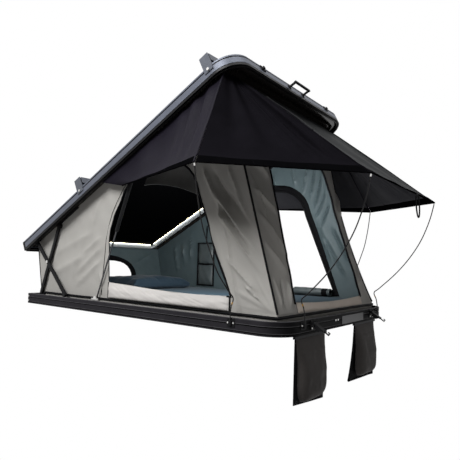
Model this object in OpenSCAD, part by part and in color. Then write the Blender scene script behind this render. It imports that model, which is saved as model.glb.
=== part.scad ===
// Hard shell roof top tent, wedge type, shown open with its awnings out.
// Millimetres. +X is the front (door end), +Z is up, -Y is the left side.
// The origin is the middle of the underside, where it bolts to roof bars.
// Roof pieces are drawn shut, then lifted by the open angle in at_roof().

/* [Base] */
// outside length of the base tray
base_l = 2150; // [1900:10:2400]
// outside width of the base tray
base_w = 1300; // [1100:10:1500]
// height of the base rail
base_h = 70; // [56:1:100]
// plan radius of the two front corners
corner_r = 145; // [80:5:200]
// wall of both perimeter rails
rail_t = 6; // [3:0.5:8]
// thickness of the rear cross rails
rear_t = 24; // [18:1:40]
// height of the floor's underside
floor_z = 24; // [20:1:30]
// thickness of the floor board
floor_t = 24; // [15:1:30]

/* [Roof] */
// overhang of the roof past the base at each side
roof_over = 10; // [2:1:20]
// how much shorter the roof is than the base
roof_cut = 15; // [0:1:40]
// height of the roof rail
roof_h = 66; // [50:1:90]
// squeezed height of the seal between the rails
seal_h = 6; // [3:0.5:10]
// open angle of the roof
roof_angle = 27; // [0:1:35]
// move of the roof's rear edge when open, along X
roof_back = -48.332; // [-80:0.001:0]
// rise of the roof's rear edge when open
roof_rise = 297.36; // [0:0.01:400]
// thickness of the roof sheet
panel_t = 3; // [1.5:0.5:6]
// how far the rim reaches in at the sides
rim_side = 88; // [60:1:110]
// how far the rim reaches in at the front
rim_front = 135; // [90:1:160]

/* [Linkage] */
// width of the scissor arms
arm_w = 26; // [18:1:30]
// thickness of the scissor arms
arm_t = 10; // [6:1:12]
// bolt radius of every scissor pivot
pin_r = 6; // [4:0.5:8]
// radial clearance of running fits
run_c = 0.06; // [0.02:0.01:0.1]
// gap between pieces that only sit together
seat = 0.3; // [0.1:0.05:0.6]
// radius of the gas strut tube
strut_r = 11; // [8:0.5:15]
// radius of the gas strut rod
strut_rod_r = 5; // [4:0.5:7]

/* [Mounting] */
// distance between the two under-floor channels
channel_gap = 800; // [600:10:1000]
// distance between the slots along each channel
slot_gap = 900; // [700:10:1200]
// end to end length of each slot
slot_l = 60; // [30:1:120]
// slot width
slot_w = 9; // [7:0.5:11]

/* [Canvas] */
// thickness of canvas sheets
cloth_t = 3; // [2:0.5:4]
// how far the canvas stands in from the base's sides
cabin_in = 60; // [40:1:90]
// height of the aluminium strip that holds the canvas
strip_h = 50; // [30:1:60]

/* [Hidden] */
$fn = 48;
base_x = base_l / 2;
base_y = base_w / 2;
cabin_y = base_y - cabin_in;
roof_y = base_y + roof_over;
roof_l = base_l - roof_cut;
roof_dx = -base_x + roof_back + base_x * cos(roof_angle);
roof_dz = roof_rise + base_x * sin(roof_angle);
roof_z = base_h + seal_h;
roof_top = roof_z + roof_h;
roof_x1 = base_x + 5;
roof_x0 = roof_x1 - roof_l;
panel_z = roof_top - 4 - seat - panel_t;
rim_z = roof_z + 24;
rim_t = 4;
liner_z = roof_top - 26;
floor_top = floor_z + floor_t;
strip_top = floor_top + strip_h;
cab_x0 = -base_x + 72;
cab_x1 = base_x - 70;
top_x0 = -base_x + 102;
top_x1 = base_x - 117;
arm_in_y = base_y - 48;
arm_out_y = base_y - 34;
arm_plate_y = base_y - 16;
pivot_z = base_h + 12;
A0 = [-base_x + 99, pivot_z];
C0 = [-base_x + 187, 300];
B1 = [-base_x + 146, roof_z - 4];
B0 = [-base_x + 422.3, pivot_z];
A1 = [-base_x + 287.7, 549.4];
A1r = [-base_x + 413.8, roof_z - 4];
stud_r = 4;
roller_lo = 14;
roller_up = 16;
strut_y = base_y - 44;
S0 = [-base_x + 745, pivot_z];
S1 = [-base_x + 1345, rim_z - 14];
rod_len = 452;
eye_play = 1.2;
roller_play = 1.2;
// front left corner of the base, from which the awning corners and their rods are set out
corner = [base_x, -base_y, 0];
tip_side = corner + [-245, -343, 745];
tip_front = corner + [335, 128, 727];
socket_in = 291;
socket_side = 176;
rod_side = [for (p = [[-socket_in, -8.6, 42], [-socket_in, -8.6, 74], [-294, 0, 120], [-297, 18, 160],
  [-289, -40, 206], [-274, -139, 294], [-262, -223, 414], [-255, -272, 500], [-249, -313, 620],
  [-245, -340, 738]]) corner + p];
rod_front = [for (p = [[8.6, socket_side, 42], [8.6, socket_side, 80], [1, 177, 125], [-12, 179, 165],
  [23, 176, 197], [120, 166, 291], [200, 156, 390], [264, 146, 498], [309, 136, 616],
  [334, 128, 719]]) corner + p];

c_rail = [0.10, 0.10, 0.11];
c_roof = [0.25, 0.26, 0.29];
c_black = [0.05, 0.05, 0.06];
c_canvas = [0.66, 0.64, 0.60];
c_steel = [0.72, 0.73, 0.75];
c_alu = [0.78, 0.79, 0.80];

// lift a roof piece from its shut place to its open place
module at_roof() {
  translate([roof_dx, 0, roof_dz]) rotate([0, -roof_angle, 0]) children();
}
module pair() {
  children();
  mirror([0, 1, 0]) children();
}
function lift(p) = [roof_dx + p[0] * cos(roof_angle) - p[2] * sin(roof_angle), p[1],
  roof_dz + p[0] * sin(roof_angle) + p[2] * cos(roof_angle)];
function mid(a, b, t) = a + (b - a) * t;

// plan outline with two rounded front corners
module plan(x0, x1, hw, r) {
  translate([x0, -hw]) square([x1 - r - x0, 2 * hw]);
  translate([x1 - r - 1, -(hw - r)]) square([r + 1, 2 * (hw - r)]);
  for (s = [-1, 1]) translate([x1 - r, s * (hw - r)]) circle(r = r, $fn = 96);
}
// section pulled along both sides, round the front corners and across the front
module bent_rail(x0, x1, hw, r, section) {
  pair() translate([x0, -hw, 0]) rotate([90, 0, 90]) linear_extrude(x1 - r - x0) polygon(section);
  pair() translate([x1 - r, -hw + r, 0]) rotate([0, 0, -90]) rotate_extrude(angle = 90, $fn = 96)
    polygon([for (p = section) [r - p[0], p[1]]]);
  translate([x1, hw - r, 0]) mirror([1, 0, 0]) rotate([90, 0, 0])
    linear_extrude(2 * (hw - r)) polygon(section);
}
// flat plate drawn in the X-Z plane, from y0 towards +Y
module xz_plate(y0, t) {
  translate([0, y0 + t, 0]) rotate([90, 0, 0]) linear_extrude(t) children();
}
// rod along Y
module y_rod(x, z, y0, y1, r) {
  translate([x, y1, z]) rotate([90, 0, 0]) cylinder(r = r, h = y1 - y0);
}

// closed sheet from a grid of points, moved by d for its second face
module sheet(g, d) {
  nu = len(g);
  nv = len(g[0]);
  n = nu * nv;
  top = [for (r = g) for (p = r) p];
  low = [for (p = top) p + d];
  function k(i, j) = i * nv + j;
  rim = concat([for (i = [0:nu - 2]) k(i, 0)], [for (j = [0:nv - 2]) k(nu - 1, j)],
    [for (i = [nu - 1:-1:1]) k(i, nv - 1)], [for (j = [nv - 1:-1:1]) k(0, j)]);
  m = len(rim);
  polyhedron(points = concat(top, low), faces = concat(
    [for (i = [0:nu - 2]) for (j = [0:nv - 2]) [k(i, j), k(i + 1, j), k(i + 1, j + 1)]],
    [for (i = [0:nu - 2]) for (j = [0:nv - 2]) [k(i, j), k(i + 1, j + 1), k(i, j + 1)]],
    [for (i = [0:nu - 2]) for (j = [0:nv - 2]) [n + k(i, j), n + k(i + 1, j + 1), n + k(i + 1, j)]],
    [for (i = [0:nu - 2]) for (j = [0:nv - 2]) [n + k(i, j), n + k(i, j + 1), n + k(i + 1, j + 1)]],
    [for (i = [0:m - 1]) [rim[i], n + rim[i], rim[(i + 1) % m]]],
    [for (i = [0:m - 1]) [rim[(i + 1) % m], n + rim[i], n + rim[(i + 1) % m]]]));
}
// four corner patch with a sag in the middle and a few pulled folds
function patch(a, b, c, d, sag, fold, nu, nv) = [for (i = [0:nu]) [for (j = [0:nv])
  let (u = i / nu, v = j / nv)
  mid(mid(a, b, u), mid(c, d, u), v) + sag * (4 * u * (1 - u) * sin(180 * v))
  + fold * (sin(180 * u) * (1 - v) * v * 4 * sin(360 * 3 * u))]];

// rounded block built from inset outlines, each ring being [inset, height]
function outline(hx, hy, r, q) = [for (s = [0:3]) for (k = [0:q]) let (a = 90 * s + 90 * k / q)
  [(s == 0 || s == 3 ? hx - r : r - hx) + r * cos(a), (s < 2 ? hy - r : r - hy) + r * sin(a)]];
module soft_block(hx, hy, r, q, rings) {
  n = 4 * (q + 1);
  m = len(rings);
  pts = [for (w = rings) for (p = outline(hx - w[0], hy - w[0], max(r - w[0], 2), q)) [p[0], p[1], w[1]]];
  polyhedron(points = pts, faces = concat(
    [[for (i = [0:n - 1]) i]],
    [for (k = [0:m - 2]) for (i = [0:n - 1]) [k * n + (i + 1) % n, k * n + i, (k + 1) * n + i]],
    [for (k = [0:m - 2]) for (i = [0:n - 1])
      [k * n + (i + 1) % n, (k + 1) * n + i, (k + 1) * n + (i + 1) % n]],
    [[for (i = [n - 1:-1:0]) (m - 1) * n + i]]));
}

// round bar swept along a route with eight sides
function unit(v) = v / norm(v);
function spline(p, i, t) = let (n = len(p) - 1, a = p[max(i - 1, 0)], b = p[i], c = p[i + 1],
    d = p[min(i + 2, n)])
  0.5 * (2 * b + (c - a) * t + (2 * a - 5 * b + 4 * c - d) * t * t + (3 * b - a - 3 * c + d) * t * t * t);
function route(p, k) = concat([for (i = [0:len(p) - 2]) for (s = [0:k - 1]) spline(p, i, s / k)],
  [p[len(p) - 1]]);
module swept(p, r, side) {
  n = len(p);
  dirs = [for (i = [0:n - 1]) unit(p[min(i + 1, n - 1)] - p[max(i - 1, 0)])];
  pts = [for (i = [0:n - 1]) let (x = unit(side - dirs[i] * (side * dirs[i])), y = cross(dirs[i], x))
    for (k = [0:7]) p[i] + r * (x * cos(45 * k) + y * sin(45 * k))];
  polyhedron(points = pts, faces = concat(
    [[for (k = [0:7]) k]],
    [for (i = [0:n - 2]) for (k = [0:7]) [i * 8 + (k + 1) % 8, i * 8 + k, (i + 1) * 8 + k]],
    [for (i = [0:n - 2]) for (k = [0:7]) [i * 8 + (k + 1) % 8, (i + 1) * 8 + k, (i + 1) * 8 + (k + 1) % 8]],
    [[for (k = [7:-1:0]) (n - 1) * 8 + k]]));
}

// bent extrusion of the base: two outside grooves, floor ledge, top lip
module base_rail() {
  section = [[0, 0], [14, 0], [14, 4], [rail_t, 4], [rail_t, floor_z - 4], [46, floor_z - 4], [46, floor_z],
    [rail_t, floor_z], [rail_t, base_h - 6], [12, base_h - 6], [12, base_h], [0, base_h], [0, 45], [2.5, 45],
    [2.5, 39], [0, 39], [0, 13], [2.5, 13], [2.5, 7], [0, 7]];
  color(c_rail) bent_rail(-base_x + rear_t + seat, base_x, base_y, corner_r, section);
}
// hollow cross rail that closes the back of the base
module rear_rail() {
  color(c_rail) translate([-base_x, base_y - 4, 0]) rotate([90, 0, 0]) linear_extrude(base_w - 8)
    difference() {
      square([rear_t, base_h]);
      translate([3, 3]) square([rear_t - 6, base_h - 6]);
    }
}
module rail_end_caps() {
  color(c_black) pair() difference() {
    translate([-base_x, -base_y, 0]) cube([rear_t, 4 - seat / 3, base_h]);
    for (z = [20, 50]) y_rod(-base_x + rear_t / 2, z, -base_y - 1, -base_y + 5, 3);
  }
}
module end_screws() {
  color(c_steel) pair() for (z = [20, 50]) {
    y_rod(-base_x + rear_t / 2, z, -base_y - 3, -base_y, 5);
    y_rod(-base_x + rear_t / 2, z, -base_y - 1, -base_y + 3.8, 2.9);
  }
}
module floor_panel() {
  color([0.3, 0.3, 0.32]) translate([0, 0, floor_z]) linear_extrude(floor_t)
    plan(-base_x + rear_t + seat, base_x - rail_t - seat, base_y - rail_t - seat, corner_r - rail_t - seat);
}
// two up-turned channels that take the clamp bolts of roof bars
channel_l = base_l - 350;
channel_w = 64;
module mount_channels() {
  color(c_alu) for (s = [-1, 1]) translate([0, s * channel_gap / 2, 0]) difference() {
    translate([-channel_l / 2, -channel_w / 2, 0]) cube([channel_l, channel_w, floor_z]);
    translate([-channel_l / 2 - 1, -channel_w / 2 + 4, 4]) cube([channel_l + 2, channel_w - 8, floor_z]);
    for (x = [-slot_gap / 2, slot_gap / 2]) translate([x, 0, -1]) linear_extrude(6) {
      square([slot_l - slot_w, slot_w], center = true);
      for (e = [-1, 1]) translate([e * (slot_l - slot_w) / 2, 0]) circle(d = slot_w);
    }
  }
}
module canvas_strip() {
  color(c_alu) translate([0, 0, floor_top]) linear_extrude(strip_h) difference() {
    translate([cab_x0, -cabin_y]) square([cab_x1 - cab_x0, 2 * cabin_y]);
    translate([cab_x0 + 4, -cabin_y + 4]) square([cab_x1 - cab_x0 - 8, 2 * cabin_y - 8]);
  }
}
module mattress() {
  color([0.30, 0.36, 0.44]) translate([(cab_x0 + cab_x1) / 2 - 4, 0, floor_top + seat])
    soft_block((cab_x1 - cab_x0) / 2 - 49, cabin_y - 28, 60, 6,
      [[14, 0], [3, 6], [0, 12], [4, 28], [0, 44], [4, 54], [18, 59], [120, 61], [300, 63], [500, 64]]);
}
module pillow() {
  color([0.10, 0.15, 0.25]) translate([cab_x0 + 423, 60, floor_top + 64.1 + seat])
    soft_block(235, 360, 70, 5,
      [[60, 0], [20, 10], [4, 26], [0, 36], [8, 52], [30, 70], [70, 84], [120, 90]]);
}

// side door opening, distance from the base's rear end and height
door_side = [[870, 178], [1075, 155], [1345, 136], [1575, 132], [1813, 140], [1575, 690], [1557, 745],
  [1530, 795], [1495, 832], [1455, 860], [1415, 879], [1368, 890], [1245, 900], [1135, 885],
  [1085, 870], [1045, 850], [1015, 822], [990, 783], [945, 690], [910, 600], [887, 520], [875, 450]];
// front door and rear window, Y and distance up the wall
door_front = [[-415, 44], [-200, 34], [0, 30], [200, 34], [415, 44], [345, 780], [338, 850], [322, 910],
  [292, 965], [245, 1010], [185, 1040], [120, 1052], [-120, 1052], [-185, 1040], [-245, 1010],
  [-292, 965], [-322, 910],
  [-338, 850], [-345, 780]];
window_rear = [[-255, 80], [255, 80], [252, 122], [240, 155], [215, 188], [182, 210], [140, 225],
  [80, 235], [0, 238], [-80, 235], [-140, 225], [-182, 210], [-215, 188], [-240, 155], [-252, 122]];
cab_z = strip_top + seat;
top_f = lift([top_x1, 0, rim_z - seat]);
top_r = lift([top_x0, 0, rim_z - seat]);
lean_f = atan2(cab_x1 - top_f[0], top_f[2] - cab_z);
lean_r = atan2(cab_x0 - top_r[0], top_r[2] - cab_z);
wall_f = norm([cab_x1 - top_f[0], top_f[2] - cab_z]);
wall_r = norm([cab_x0 - top_r[0], top_r[2] - cab_z]);
module side_wall() {
  xz_plate(-cabin_y, cloth_t) difference() {
    polygon([[cab_x0, cab_z], [cab_x1, cab_z], [top_f[0], top_f[2]], [top_r[0], top_r[2]]]);
    translate([-base_x, 0]) polygon(door_side);
  }
}
module left_wall() {
  color(c_canvas) side_wall();
}
module right_wall() {
  color(c_canvas) mirror([0, 1, 0]) side_wall();
}
module front_wall() {
  w = cabin_y - cloth_t - seat;
  color(c_canvas) translate([cab_x1, 0, cab_z]) rotate([0, -lean_f, 0]) translate([-cloth_t, 0, 1])
    rotate([90, 0, 90]) linear_extrude(cloth_t) difference() {
      translate([-w, 0]) square([2 * w, wall_f - 4]);
      polygon(door_front);
    }
}
module rear_wall() {
  w = cabin_y - cloth_t - seat;
  color(c_canvas) translate([cab_x0, 0, cab_z]) rotate([0, -lean_r, 0]) translate([0, 0, 1])
    rotate([90, 0, 90]) linear_extrude(cloth_t) difference() {
      translate([-w, 0]) square([2 * w, wall_r - 4]);
      polygon(window_rear);
    }
}
// window flap rolled down onto the sill of the right door, with its tie
module window_roll() {
  color([0.40, 0.41, 0.41]) translate([-base_x + 1505, cabin_y - cloth_t - 28 - seat, 136])
    rotate([0, 90, 0]) {
      cylinder(r = 26, h = 290);
      translate([0, 0, 236]) cylinder(r = 28, h = 22);
    }
}
// two pocket organiser hung on the right wall
module organiser() {
  color([0.20, 0.23, 0.24]) {
    translate([-base_x + 523, cabin_y - cloth_t - seat - 4, 128]) cube([180, 4, 366]);
    translate([-base_x + 595, cabin_y - cloth_t - seat - 4, 490]) cube([24, 3, 150]);
    for (z = [212, 398]) translate([-base_x + 613, cabin_y - cloth_t - seat - 2, z]) rotate([90, 0, 0])
      soft_block(84, 84, 16, 3, [[0, 0], [0, 14], [5, 24], [24, 31], [50, 34]]);
  }
}

// angle brackets that carry the fixed ends of the rear arms
module arm_base_brackets() {
  color(c_black) pair() difference() {
    union() {
      translate([A0[0] - 28, -arm_in_y + 2, floor_top]) cube([56, 7, pivot_z - floor_top]);
      y_rod(A0[0], A0[1], -arm_in_y + 2, -arm_in_y + 9, 15);
      translate([A0[0] - 28, -arm_in_y - 34, floor_top]) cube([56, 36, 5]);
      y_rod(A0[0], A0[1], -arm_in_y - 10, -arm_in_y + 4, pin_r);
    }
    for (x = [-18, 18]) translate([A0[0] + x, -arm_in_y - 24, floor_top - 1]) cylinder(r = 3, h = 8);
  }
}
// ledges the lower rollers run along
module base_tracks() {
  h = pivot_z - roller_lo - roller_play - floor_top;
  color(c_black) pair() translate([B0[0] - 37.3, -arm_out_y - arm_t - 10.5, floor_top]) difference() {
    cube([300, 10, h]);
    translate([-1, 2, 2]) cube([302, 6, h - 4]);
  }
}
module strut_base_brackets() {
  color(c_black) pair() {
    difference() {
      union() {
        translate([S0[0] - 34, -strut_y - 16, floor_top]) cube([68, 6, pivot_z - floor_top]);
        y_rod(S0[0], S0[1], -strut_y - 16, -strut_y - 10, 15);
        translate([S0[0] - 34, -strut_y - 16, floor_top]) cube([68, 28, 4]);
      }
      for (x = [-24, 0, 24]) translate([S0[0] + x, -strut_y + 3, floor_top - 1]) cylinder(r = 3, h = 6);
    }
    y_rod(S0[0], S0[1], -strut_y - 12, -strut_y + 9, stud_r);
  }
}
module foot_bolt(t) {
  translate([0, 0, floor_top + t]) cylinder(r = 5.5, h = 4);
  translate([0, 0, floor_top + 0.2]) cylinder(r = 2.9, h = t + 1);
}
module bracket_bolts() {
  color(c_steel) pair() {
    for (x = [-24, 0, 24]) translate([S0[0] + x, -strut_y + 3, 0]) foot_bolt(4);
    for (x = [-18, 18]) translate([A0[0] + x, -arm_in_y - 24, 0]) foot_bolt(5);
  }
}
// plates with a socket for the bent spring rods of the awnings
module rod_socket() {
  difference() {
    union() {
      translate([-23, -3, -20]) cube([46, 3, 40]);
      translate([-8, -14, -12]) cube([16, 12, 22]);
    }
    translate([0, -8.5, -6]) cylinder(r = 3.6, h = 40);
    for (x = [-16, 16]) y_rod(x, 0, -4, 1, 2.6);
  }
}
module rod_brackets() {
  color(c_black) pair() {
    translate([base_x - socket_in, -base_y - 0.1, 46]) rod_socket();
    translate([base_x + 0.1, -base_y + socket_side, 46]) rotate([0, 0, 90]) rod_socket();
  }
}
module socket_bolts() {
  for (x = [-16, 16]) y_rod(x, 0, -7, -3, 4.5);
  for (x = [-16, 16]) y_rod(x, 0, -4, -0.1, 2.5);
}
module rod_bracket_bolts() {
  color(c_steel) pair() {
    translate([base_x - socket_in, -base_y - 0.1, 46]) socket_bolts();
    translate([base_x + 0.1, -base_y + socket_side, 46]) rotate([0, 0, 90]) socket_bolts();
  }
}
// bent spring rods that push the awning corners out
module awning_rod_left() {
  color(c_black) swept(route(rod_side, 2), 3, [1, 0, 0]);
}
module awning_rod_right() {
  color(c_black) mirror([0, 1, 0]) swept(route(rod_side, 2), 3, [1, 0, 0]);
}
module awning_rod_front_left() {
  color(c_black) swept(route(rod_front, 2), 3, [0, 1, 0]);
}
module awning_rod_front_right() {
  color(c_black) mirror([0, 1, 0]) swept(route(rod_front, 2), 3, [0, 1, 0]);
}

// draw latches on the front rail, hanging open
latch_y = base_y - 270;
latch_z = 50;
latch_x = base_x + 14;
module latch_plates() {
  color(c_black) pair() {
    difference() {
      translate([base_x + 0.1, -latch_y - 22, latch_z - 32]) cube([4, 44, 46]);
      for (y = [-14, 14]) translate([base_x - 1, -latch_y + y, latch_z - 24]) rotate([0, 90, 0])
        cylinder(r = 2.6, h = 8);
    }
    for (s = [-1, 1]) difference() {
      translate([base_x + 4, -latch_y + s * 19 - 2, latch_z - 9]) cube([16, 4, 18]);
      y_rod(latch_x, latch_z, -latch_y + s * 19 - 3, -latch_y + s * 19 + 3, 3 + run_c);
    }
  }
}
module latch_bolts() {
  color(c_steel) pair() for (y = [-14, 14]) translate([base_x + 4.2, -latch_y + y, latch_z - 24])
    rotate([0, 90, 0]) {
      cylinder(r = 4.5, h = 3);
      translate([0, 0, -4]) cylinder(r = 2.5, h = 5);
    }
  color(c_steel) for (y = [-121, -93]) translate([base_x + 0.1, y, 42]) rotate([0, 90, 0])
    cylinder(r = 5, h = 3);
}
module latch_lever() {
  y_rod(latch_x, latch_z, -22, 22, 3);
  translate([latch_x, 0, latch_z]) rotate([0, 34, 0]) {
    y_rod(0, 0, -16, 16, 7);
    translate([0, -15, -3]) cube([62, 30, 6]);
    for (s = [-15, 12]) {
      translate([0, s, -9]) cube([52, 3, 9]);
      translate([10, s, -17]) cube([36, 3, 17]);
    }
    translate([60, -5, -3]) cube([30, 10, 4]);
    translate([86, -5, -3]) cube([4, 10, 14]);
    translate([78, -5, 8]) cube([12, 10, 3]);
  }
}
module latch_lever_left() {
  color(c_black) translate([0, -latch_y, 0]) latch_lever();
}
module latch_lever_right() {
  color(c_black) translate([0, latch_y, 0]) latch_lever();
}
// bare badge plate on the front rail
module badge_plate() {
  color([0.35, 0.35, 0.36]) translate([base_x + 0.1, -40, 12]) cube([2, 300, 44]);
}

// slotted tracks under the front rail that hold the boot bags' hems
bag_x = base_x - 7;
bag_z = -7;
bag_w = 300;
bag_h = 335;
bag_yl = -base_y + 268;
bag_yr = base_y - 350;
module bag_tracks() {
  color(c_black) for (y = [bag_yl, bag_yr]) translate([bag_x - 7, y - bag_w / 2 - 10, -13]) difference() {
    cube([14, bag_w + 20, 13 - 0.1]);
    translate([3.5, -1, 2.5]) cube([7, bag_w + 22, 7]);
    translate([4.5, -1, -1]) cube([5, bag_w + 22, 6]);
  }
}
module boot_bag() {
  y_rod(bag_x, bag_z, -bag_w / 2, bag_w / 2, 3);
  translate([bag_x - 1, -bag_w / 2, bag_z - bag_h]) cube([2, bag_w, bag_h]);
  translate([bag_x + 0.5, 0, bag_z - 176]) rotate([90, 0, 90]) soft_block(136, 142, 34, 4,
    [[0, 0], [-2, 12], [0, 24], [14, 36], [44, 43], [80, 46]]);
}
module boot_bag_left() {
  color(c_black) translate([0, bag_yl, 0]) boot_bag();
}
module boot_bag_right() {
  color(c_black) translate([0, bag_yr, 0]) boot_bag();
}

// scissor arms, the rear ones pinned to the base, the front ones to the roof
function bar_dir(a, b) = atan2(b[1] - a[1], b[0] - a[0]);
module bar(a, b, y0) {
  translate([a[0], y0 + arm_t, a[1]]) rotate([90, 0, 0]) rotate([0, 0, bar_dir(a, b)]) linear_extrude(arm_t) {
    translate([0, -arm_w / 2]) square([norm(b - a), arm_w]);
    circle(d = arm_w);
    translate([norm(b - a), 0]) circle(d = arm_w);
  }
}
module rear_arms() {
  color(c_black) pair() difference() {
    bar(A0, A1, -arm_in_y - arm_t);
    y_rod(A0[0], A0[1], -arm_in_y - arm_t - 1, -arm_in_y + 1, pin_r + run_c);
    y_rod(C0[0], C0[1], -arm_in_y - arm_t - 1, -arm_in_y + 1, pin_r + run_c);
    y_rod(A1[0], A1[1], -arm_in_y - arm_t - 1, -arm_in_y + 1, pin_r + run_c);
  }
}
module cross_bolts() {
  color(c_steel) pair() {
    y_rod(C0[0], C0[1], -arm_out_y - arm_t - 4, -arm_in_y + 3, pin_r);
    y_rod(C0[0], C0[1], -arm_out_y - arm_t - 4, -arm_out_y - arm_t - seat, 10);
    y_rod(C0[0], C0[1], -arm_out_y + seat, -arm_in_y - arm_t - seat, 9);
    y_rod(C0[0], C0[1], -arm_in_y + seat, -arm_in_y + 3, 9);
  }
}
module upper_rollers() {
  color(c_steel) pair() {
    y_rod(A1[0], A1[1], -arm_in_y - arm_t, -arm_in_y + 11, pin_r);
    y_rod(A1[0], A1[1], -arm_in_y + seat, -arm_in_y + 11, roller_up);
  }
}
module front_arms() {
  color(c_black) pair() difference() {
    bar(B1o, B0, -arm_out_y - arm_t);
    for (p = [B0, C0, B1o]) y_rod(p[0], p[1], -arm_out_y - arm_t - 1, -arm_out_y + 1, pin_r + run_c);
  }
}
B1l = lift([B1[0], 0, B1[1]]);
B1o = [B1l[0], B1l[2]];
module lower_rollers() {
  color(c_steel) pair() {
    y_rod(B0[0], B0[1], -arm_out_y - arm_t, -arm_out_y + 1, pin_r);
    y_rod(B0[0], B0[1], -arm_out_y - arm_t - 10, -arm_out_y - arm_t - seat, roller_lo);
    y_rod(B0[0], B0[1], -arm_out_y - arm_t - 10, -arm_out_y - arm_t + 1, pin_r);
  }
}

// gas struts: rod eye on the base stud, tube eye on the roof stud
S1l = lift([S1[0], 0, S1[1]]);
strut_open = norm([S1l[0] - S0[0], S1l[2] - S0[1]]);
strut_dir = atan2(S1l[2] - S0[1], S1l[0] - S0[0]);
module along_strut() {
  translate([S0[0], -strut_y, S0[1]]) rotate([0, 90 - strut_dir, 0]) children();
}
module strut_rods() {
  color(c_steel) pair() along_strut() difference() {
    union() {
      rotate([90, 0, 0]) translate([0, 0, -7]) cylinder(r = 9, h = 14);
      cylinder(r = strut_rod_r, h = rod_len + 60);
    }
    rotate([90, 0, 0]) translate([0, 0, -8]) cylinder(r = stud_r + run_c, h = 16);
  }
}
module strut_tubes() {
  color(c_black) pair() along_strut() difference() {
    union() {
      translate([0, 0, rod_len]) cylinder(r = strut_r, h = strut_open - rod_len - 24);
      translate([0, 0, strut_open - 26]) cylinder(r = 6, h = 26);
      translate([0, 0, strut_open]) rotate([90, 0, 0]) translate([0, 0, -7]) cylinder(r = 10, h = 14);
    }
    translate([0, 0, rod_len - 1]) cylinder(r = strut_rod_r + run_c, h = strut_open - rod_len - 29);
    translate([0, 0, strut_open]) rotate([90, 0, 0]) translate([0, 0, -8])
      cylinder(r = stud_r + eye_play, h = 16);
  }
}

// roof, drawn shut and lifted
module roof_rail() {
  section = [for (p = [[0, 0], [22, 0], [22, 4], [rail_t, 4], [rail_t, roof_h - 4], [22, roof_h - 4],
    [22, roof_h], [0, roof_h], [0, 57], [2.5, 57], [2.5, 52], [0, 52], [0, 16], [2.5, 16], [2.5, 13],
    [0, 13]]) [p[0], p[1] + roof_z]];
  color(c_roof) at_roof() bent_rail(roof_x0 + rear_t + seat, roof_x1, roof_y, corner_r, section);
}
module roof_rear_rail() {
  color(c_roof) at_roof() translate([roof_x0, roof_y - 4, roof_z]) rotate([90, 0, 0])
    linear_extrude(2 * roof_y - 8) difference() {
      square([rear_t, roof_h]);
      translate([3, 3]) square([rear_t - 6, roof_h - 6]);
    }
}
module roof_end_caps() {
  color(c_black) at_roof() pair() translate([roof_x0, -roof_y, roof_z]) cube([rear_t, 4 - seat / 3, roof_h]);
}
module roof_panel() {
  color(c_roof) at_roof() translate([0, 0, panel_z]) linear_extrude(panel_t)
    plan(roof_x0 + rear_t + seat, roof_x1 - rail_t - seat, roof_y - rail_t - seat, corner_r - rail_t - seat);
}
// black moulded rim under the roof edge with a rolled inner lip
module roof_rim() {
  x0 = roof_x0 + rear_t + 70;
  x1 = roof_x1 - rim_front;
  w = roof_y - rim_side;
  color(c_black) at_roof() {
    translate([0, 0, rim_z]) linear_extrude(rim_t) difference() {
      plan(roof_x0 + rear_t + seat, roof_x1 - rail_t - seat, roof_y - rail_t - seat,
        corner_r - rail_t - seat);
      plan(x0, x1, w, 40);
    }
    translate([0, 0, rim_z]) linear_extrude(panel_z - rim_z - seat) difference() {
      plan(x0 - 4, x1 + 4, w + 4, 44);
      plan(x0, x1, w, 40);
    }
  }
}
module roof_seal() {
  color(c_black) at_roof() translate([0, 0, base_h + seat]) linear_extrude(seal_h - seat - 0.1) difference() {
    plan(roof_x0 + 2, base_x - 1, base_y - 1, corner_r - 1);
    plan(roof_x0 + 12, base_x - 6, base_y - 6, corner_r - 6);
  }
}
module headliner() {
  color([0.03, 0.03, 0.035]) at_roof() translate([0, 0, liner_z]) linear_extrude(panel_z - liner_z - seat)
    plan(roof_x0 + rear_t + 71, roof_x1 - rim_front - 1, roof_y - rim_side - 1, 39);
}
// aluminium tube frame under the headliner, with bolted elbows
tube_y = base_y - 150;
tube_r = 14;
tube_z = liner_z - tube_r - seat;
tube_x0 = roof_x0 + 110;
tube_x1 = roof_x1 - 180;
module frame_tubes() {
  color(c_alu) at_roof() {
    for (s = [-1, 1]) translate([tube_x0 + 40, s * tube_y, tube_z]) rotate([0, 90, 0])
      cylinder(r = tube_r, h = tube_x1 - tube_x0 - 80);
    for (x = [tube_x0, tube_x1]) y_rod(x, tube_z, -tube_y + 40, tube_y - 40, tube_r);
  }
}
module tube_elbows() {
  color(c_steel) at_roof() for (sx = [0, 1]) for (sy = [0, 1]) mirror([0, sy, 0])
    translate([(tube_x0 + tube_x1) / 2, 0, 0]) mirror([sx, 0, 0])
      translate([(tube_x0 - tube_x1) / 2 + 39.8, -tube_y + 39.8, tube_z]) {
        rotate([0, 0, 180]) rotate_extrude(angle = 90) translate([39.8, 0]) circle(r = tube_r);
      }
}
// lit strip on the inner side of the rear and right tubes
module led_strip() {
  color([1, 0.95, 0.75]) at_roof() {
    translate([tube_x0 + 11, -tube_y + 40, tube_z + tube_r - 5]) cube([14, 2 * tube_y - 80, 5]);
    translate([tube_x0 + 40, tube_y - 25, tube_z + tube_r - 5]) cube([tube_x1 - tube_x0 - 80, 14, 5]);
  }
}

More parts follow.
